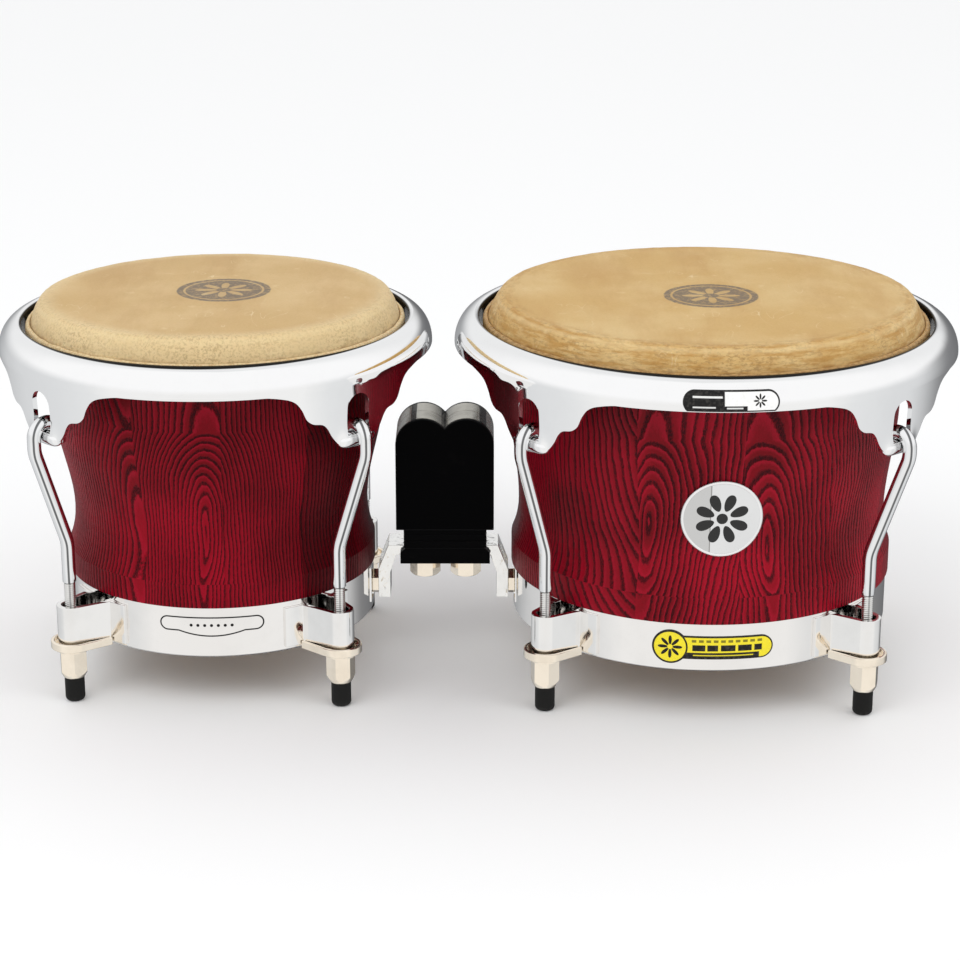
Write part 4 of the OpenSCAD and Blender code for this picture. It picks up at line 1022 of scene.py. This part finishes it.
# ------------------------------------------------------------------ build
for key in ("small", "large"):
    make_skin(key)
    make_rim(key)
    make_rods(key)
    shell = NODES[f"{key}_shell"]
    shell.data.materials.clear()
    shell.data.materials.append(M[f"{key}_wood"])
    finished(f"{key}_bottom_ring", M[f"{key}_ring"], 0.35, 3)
    finished(f"{key}_flesh_hoop", M["steel"], 0.5)
    finished(f"{key}_lug_brackets", M["bracket"], 0.35, 2)
    finished(f"{key}_cup_plates", M["nickel"], 0.45, 3)
    finished(f"{key}_mount_plate", M["bracket"], 0.4)
    finished(f"{key}_mount_stud", M["nickel"], 0.4)
    finished(f"{key}_mount_nut", M["nickel"], 0.3)
    for k in range(1, 5):
        finished(f"{key}_nut_{k}", M["nickel"], 0.22, 2, angle=20)
        finished(f"{key}_foot_{k}", M["rubber"], 0.3)
    finished(f"{key}_arm", M["cast"], 0.8, 3)
for side in ("front", "rear"):
    finished(f"block_{side}_plate", M["alloy"], 0.25)
    finished(f"block_{side}_cover", M["black"], 0.5, 3)
finished("block_pins", M["steel"], 0.3)
finished("block_saddle", M["black_cast"], 0.3)
finished("clamp_plate", M["black_cast"], 0.7, 3)
finished("clamp_bolts", M["nickel"], 0.3)
finished("clamp_washers", M["nickel"], 0.2)
finished("large_badge", M["badge"], 0.18, 2, angle=40)
finished("large_rim_label", M["rim_label"], 0.05, 1, angle=50)
finished("large_ring_label", M["ring_label"], 0.05, 1, angle=50)


def on_badge(u, v, h):
    """A point of the badge's face: u across, v up, h out of it."""
    d, a = DRUMS["large"], math.radians(1.3)
    r = shell_r(101.8 + v, d) + 1.15 + h
    f = math.sqrt(r * r - u * u)
    return (d["cx"] + u * math.cos(a) + f * math.sin(a), u * math.sin(a) - f * math.cos(a), 101.8 + v)


def badge_relief():
    """Raised edge of the badge and a plain rosette standing on it."""
    verts, faces = [], []
    prof = [(17.35, -0.05), (17.5, 0.16), (17.8, 0.30), (18.3, 0.30), (18.62, 0.14), (18.75, -0.25)]
    n = 120
    for i in range(n):
        a = 2 * math.pi * i / n
        for rho, h in prof:
            verts.append(on_badge(rho * math.cos(a), rho * math.sin(a), h))
    m = len(prof)
    for i in range(n):
        j = (i + 1) % n
        for k in range(m):
            q = (k + 1) % m
            faces.append((i * m + k, i * m + q, j * m + q, j * m + k))
    o = add_mesh("large_badge_edge", verts, faces, M["badge_edge"], "body", ("large_badge",))
    fix_normals(o)
    verts, faces = [], []

    def island(outline):
        cu = sum(p[0] for p in outline) / len(outline)
        cv = sum(p[1] for p in outline) / len(outline)
        k = len(outline)
        start = len(verts)
        for shrink, h in ((1.0, -0.05), (1.0, 0.14), (0.93, 0.24), (0.5, 0.26)):
            for u, v in outline:
                verts.append(on_badge(cu + (u - cu) * shrink, cv + (v - cv) * shrink, h))
        verts.append(on_badge(cu, cv, 0.27))
        verts.append(on_badge(cu, cv, -0.05))
        for lvl in range(3):
            for i in range(k):
                j = (i + 1) % k
                faces.append((start + lvl * k + i, start + lvl * k + j, start + (lvl + 1) * k + j, start + (lvl + 1) * k + i))
        for i in range(k):
            j = (i + 1) % k
            faces.append((start + 3 * k + i, start + 3 * k + j, start + 4 * k))
            faces.append((start + j, start + i, start + 4 * k + 1))

    island([(2.6 * math.cos(q), 2.6 * math.sin(q)) for q in [2 * math.pi * i / 28 for i in range(28)]])
    for k in range(8):
        a = math.pi / 4 * k + math.pi / 8
        pts = []
        for i in range(36):
            q = 2 * math.pi * i / 36
            lu = 8.3 + 4.3 * math.cos(q)
            lv = 2.35 * math.sin(q) * (1 + 0.22 * math.cos(q))
            pts.append((lu * math.cos(a) - lv * math.sin(a), lu * math.sin(a) + lv * math.cos(a)))
        island(pts)
    o = add_mesh("large_badge_rosette", verts, faces, M["ink"], "body", ("large_badge",))
    fix_normals(o)
    o.data.set_sharp_from_angle(angle=math.radians(40))


badge_relief()

# ------------------------------------------------------------------ stage, light, camera
def room_light(t, dx, dy, dz):
    """What bright metal sees in a direction: a white studio in front, greyer to the sides and darker low behind."""
    flat = t.m("SQRT", t.m("ADD", t.m("MULTIPLY", dx, dx), t.m("MULTIPLY", dy, dy)))
    az = t.m("ARCTAN2", dx, t.m("MULTIPLY", dy, -1.0))        # 0 towards the camera, + to the right
    el = t.m("ARCTAN2", dz, flat)
    aa = t.m("ABSOLUTE", az)
    low = t.ramp(t.m("DIVIDE", aa, math.pi), [(0.0, (0.86, 0.855, 0.845)), (0.28, (0.87, 0.87, 0.865)), (0.37, (0.76, 0.77, 0.775)),
                                              (0.5, (0.70, 0.71, 0.72)), (0.65, (0.66, 0.67, 0.68)), (0.75, (0.58, 0.59, 0.60)),
                                              (0.88, (0.36, 0.37, 0.38)), (1.0, (0.28, 0.28, 0.29))])
    high = t.mix(t.rng(aa, 1.6, 2.6), (0.95, 0.95, 0.955), (0.82, 0.825, 0.83))
    room = t.mix(t.rng(el, -0.06, 0.30), low, high)
    shade = t.m("MULTIPLY", t.rng(az, 1.75, 2.4), t.rng(el, 0.08, 0.34, 1.0, 0.0))
    return t.mix(t.m("MULTIPLY", shade, 0.75), room, (0.09, 0.09, 0.095))


def make_stage():
    me = bpy.data.meshes.new("floor")
    n, half = 8, 14.0
    vs = [(-half + 2 * half * i / n, -half + 2 * half * j / n, 0) for j in range(n + 1) for i in range(n + 1)]
    fs = [(j * (n + 1) + i, j * (n + 1) + i + 1, (j + 1) * (n + 1) + i + 1, (j + 1) * (n + 1) + i) for j in range(n) for i in range(n)]
    me.from_pydata(vs, [], fs)
    mat, t, b = material("pale_floor")
    p = coords_mm(t)
    g = t.noise(p, 0.3, 3.0, 0.6)
    t.put(b.inputs["Base Color"], t.mix(t.m("MULTIPLY", g, 0.02), (0.945, 0.945, 0.945), (0.925, 0.925, 0.92)))
    b.inputs["Roughness"].default_value = 0.75
    b.inputs["Specular IOR Level"].default_value = 0.1
    back = t.node("ShaderNodeNewGeometry")
    dx, dy, dz = t.xyz(back.outputs["Incoming"])
    glow = t.node("ShaderNodeEmission")
    t.put(glow.inputs["Color"], room_light(t, t.m("MULTIPLY", dx, -1.0), t.m("MULTIPLY", dy, -1.0), t.m("MULTIPLY", dz, -1.0)))
    t.put(glow.inputs["Strength"], 1.04)
    seen = t.node("ShaderNodeLightPath")
    pick = t.node("ShaderNodeMixShader")
    out = [n for n in mat.node_tree.nodes if n.type == "OUTPUT_MATERIAL"][0]
    t.put(pick.inputs[0], seen.outputs["Is Glossy Ray"])
    t.put(pick.inputs[1], b.outputs[0])
    t.put(pick.inputs[2], glow.outputs[0])
    t.put(out.inputs["Surface"], pick.outputs[0])
    me.materials.append(mat)
    o = bpy.data.objects.new("floor", me)
    bpy.context.scene.collection.objects.link(o)


make_stage()
world = bpy.data.worlds.new("studio")
bpy.context.scene.world = world
world.use_nodes = True
wt = Tree(world.node_tree)
bg = world.node_tree.nodes["Background"]
tc = wt.node("ShaderNodeTexCoord")
wx, wy, wz = wt.xyz(tc.outputs["Generated"])
room = room_light(wt, wx, wy, wz)
lp = wt.node("ShaderNodeLightPath")
col = wt.mix(lp.outputs["Is Glossy Ray"], (0.93, 0.935, 0.94), room)
wt.put(bg.inputs["Color"], col)
bg.inputs["Strength"].default_value = 1.045


def area(name, loc, target, size, power, color=(1, 1, 1), spread=180):
    li = bpy.data.lights.new(name, "AREA")
    li.shape, li.size, li.size_y, li.energy, li.color = "RECTANGLE", size[0], size[1], power, color
    li.spread = math.radians(spread)
    o = bpy.data.objects.new(name, li)
    bpy.context.scene.collection.objects.link(o)
    o.location = loc
    o.rotation_euler = (Vector(target) - Vector(loc)).to_track_quat("-Z", "Y").to_euler()
    o.visible_glossy = False
    return o


area("key", (-0.9, -1.5, 1.7), (0, 0, 0.08), (1.6, 1.2), 10)
area("fill", (1.5, -1.0, 1.1), (0, 0, 0.08), (1.2, 1.2), 4)

cam = bpy.data.cameras.new("camera")
cam.lens, cam.sensor_width = 96.8, 36.0
cam.clip_start, cam.clip_end = 0.05, 60
co = bpy.data.objects.new("camera", cam)
bpy.context.scene.collection.objects.link(co)
co.location = (0.00085, -1.2, 0.4865)
co.rotation_euler = (math.pi / 2 - 0.319, 0, 0)
bpy.context.scene.camera = co
bpy.context.scene.view_settings.view_transform = "Standard"
bpy.context.scene.view_settings.look = "None"
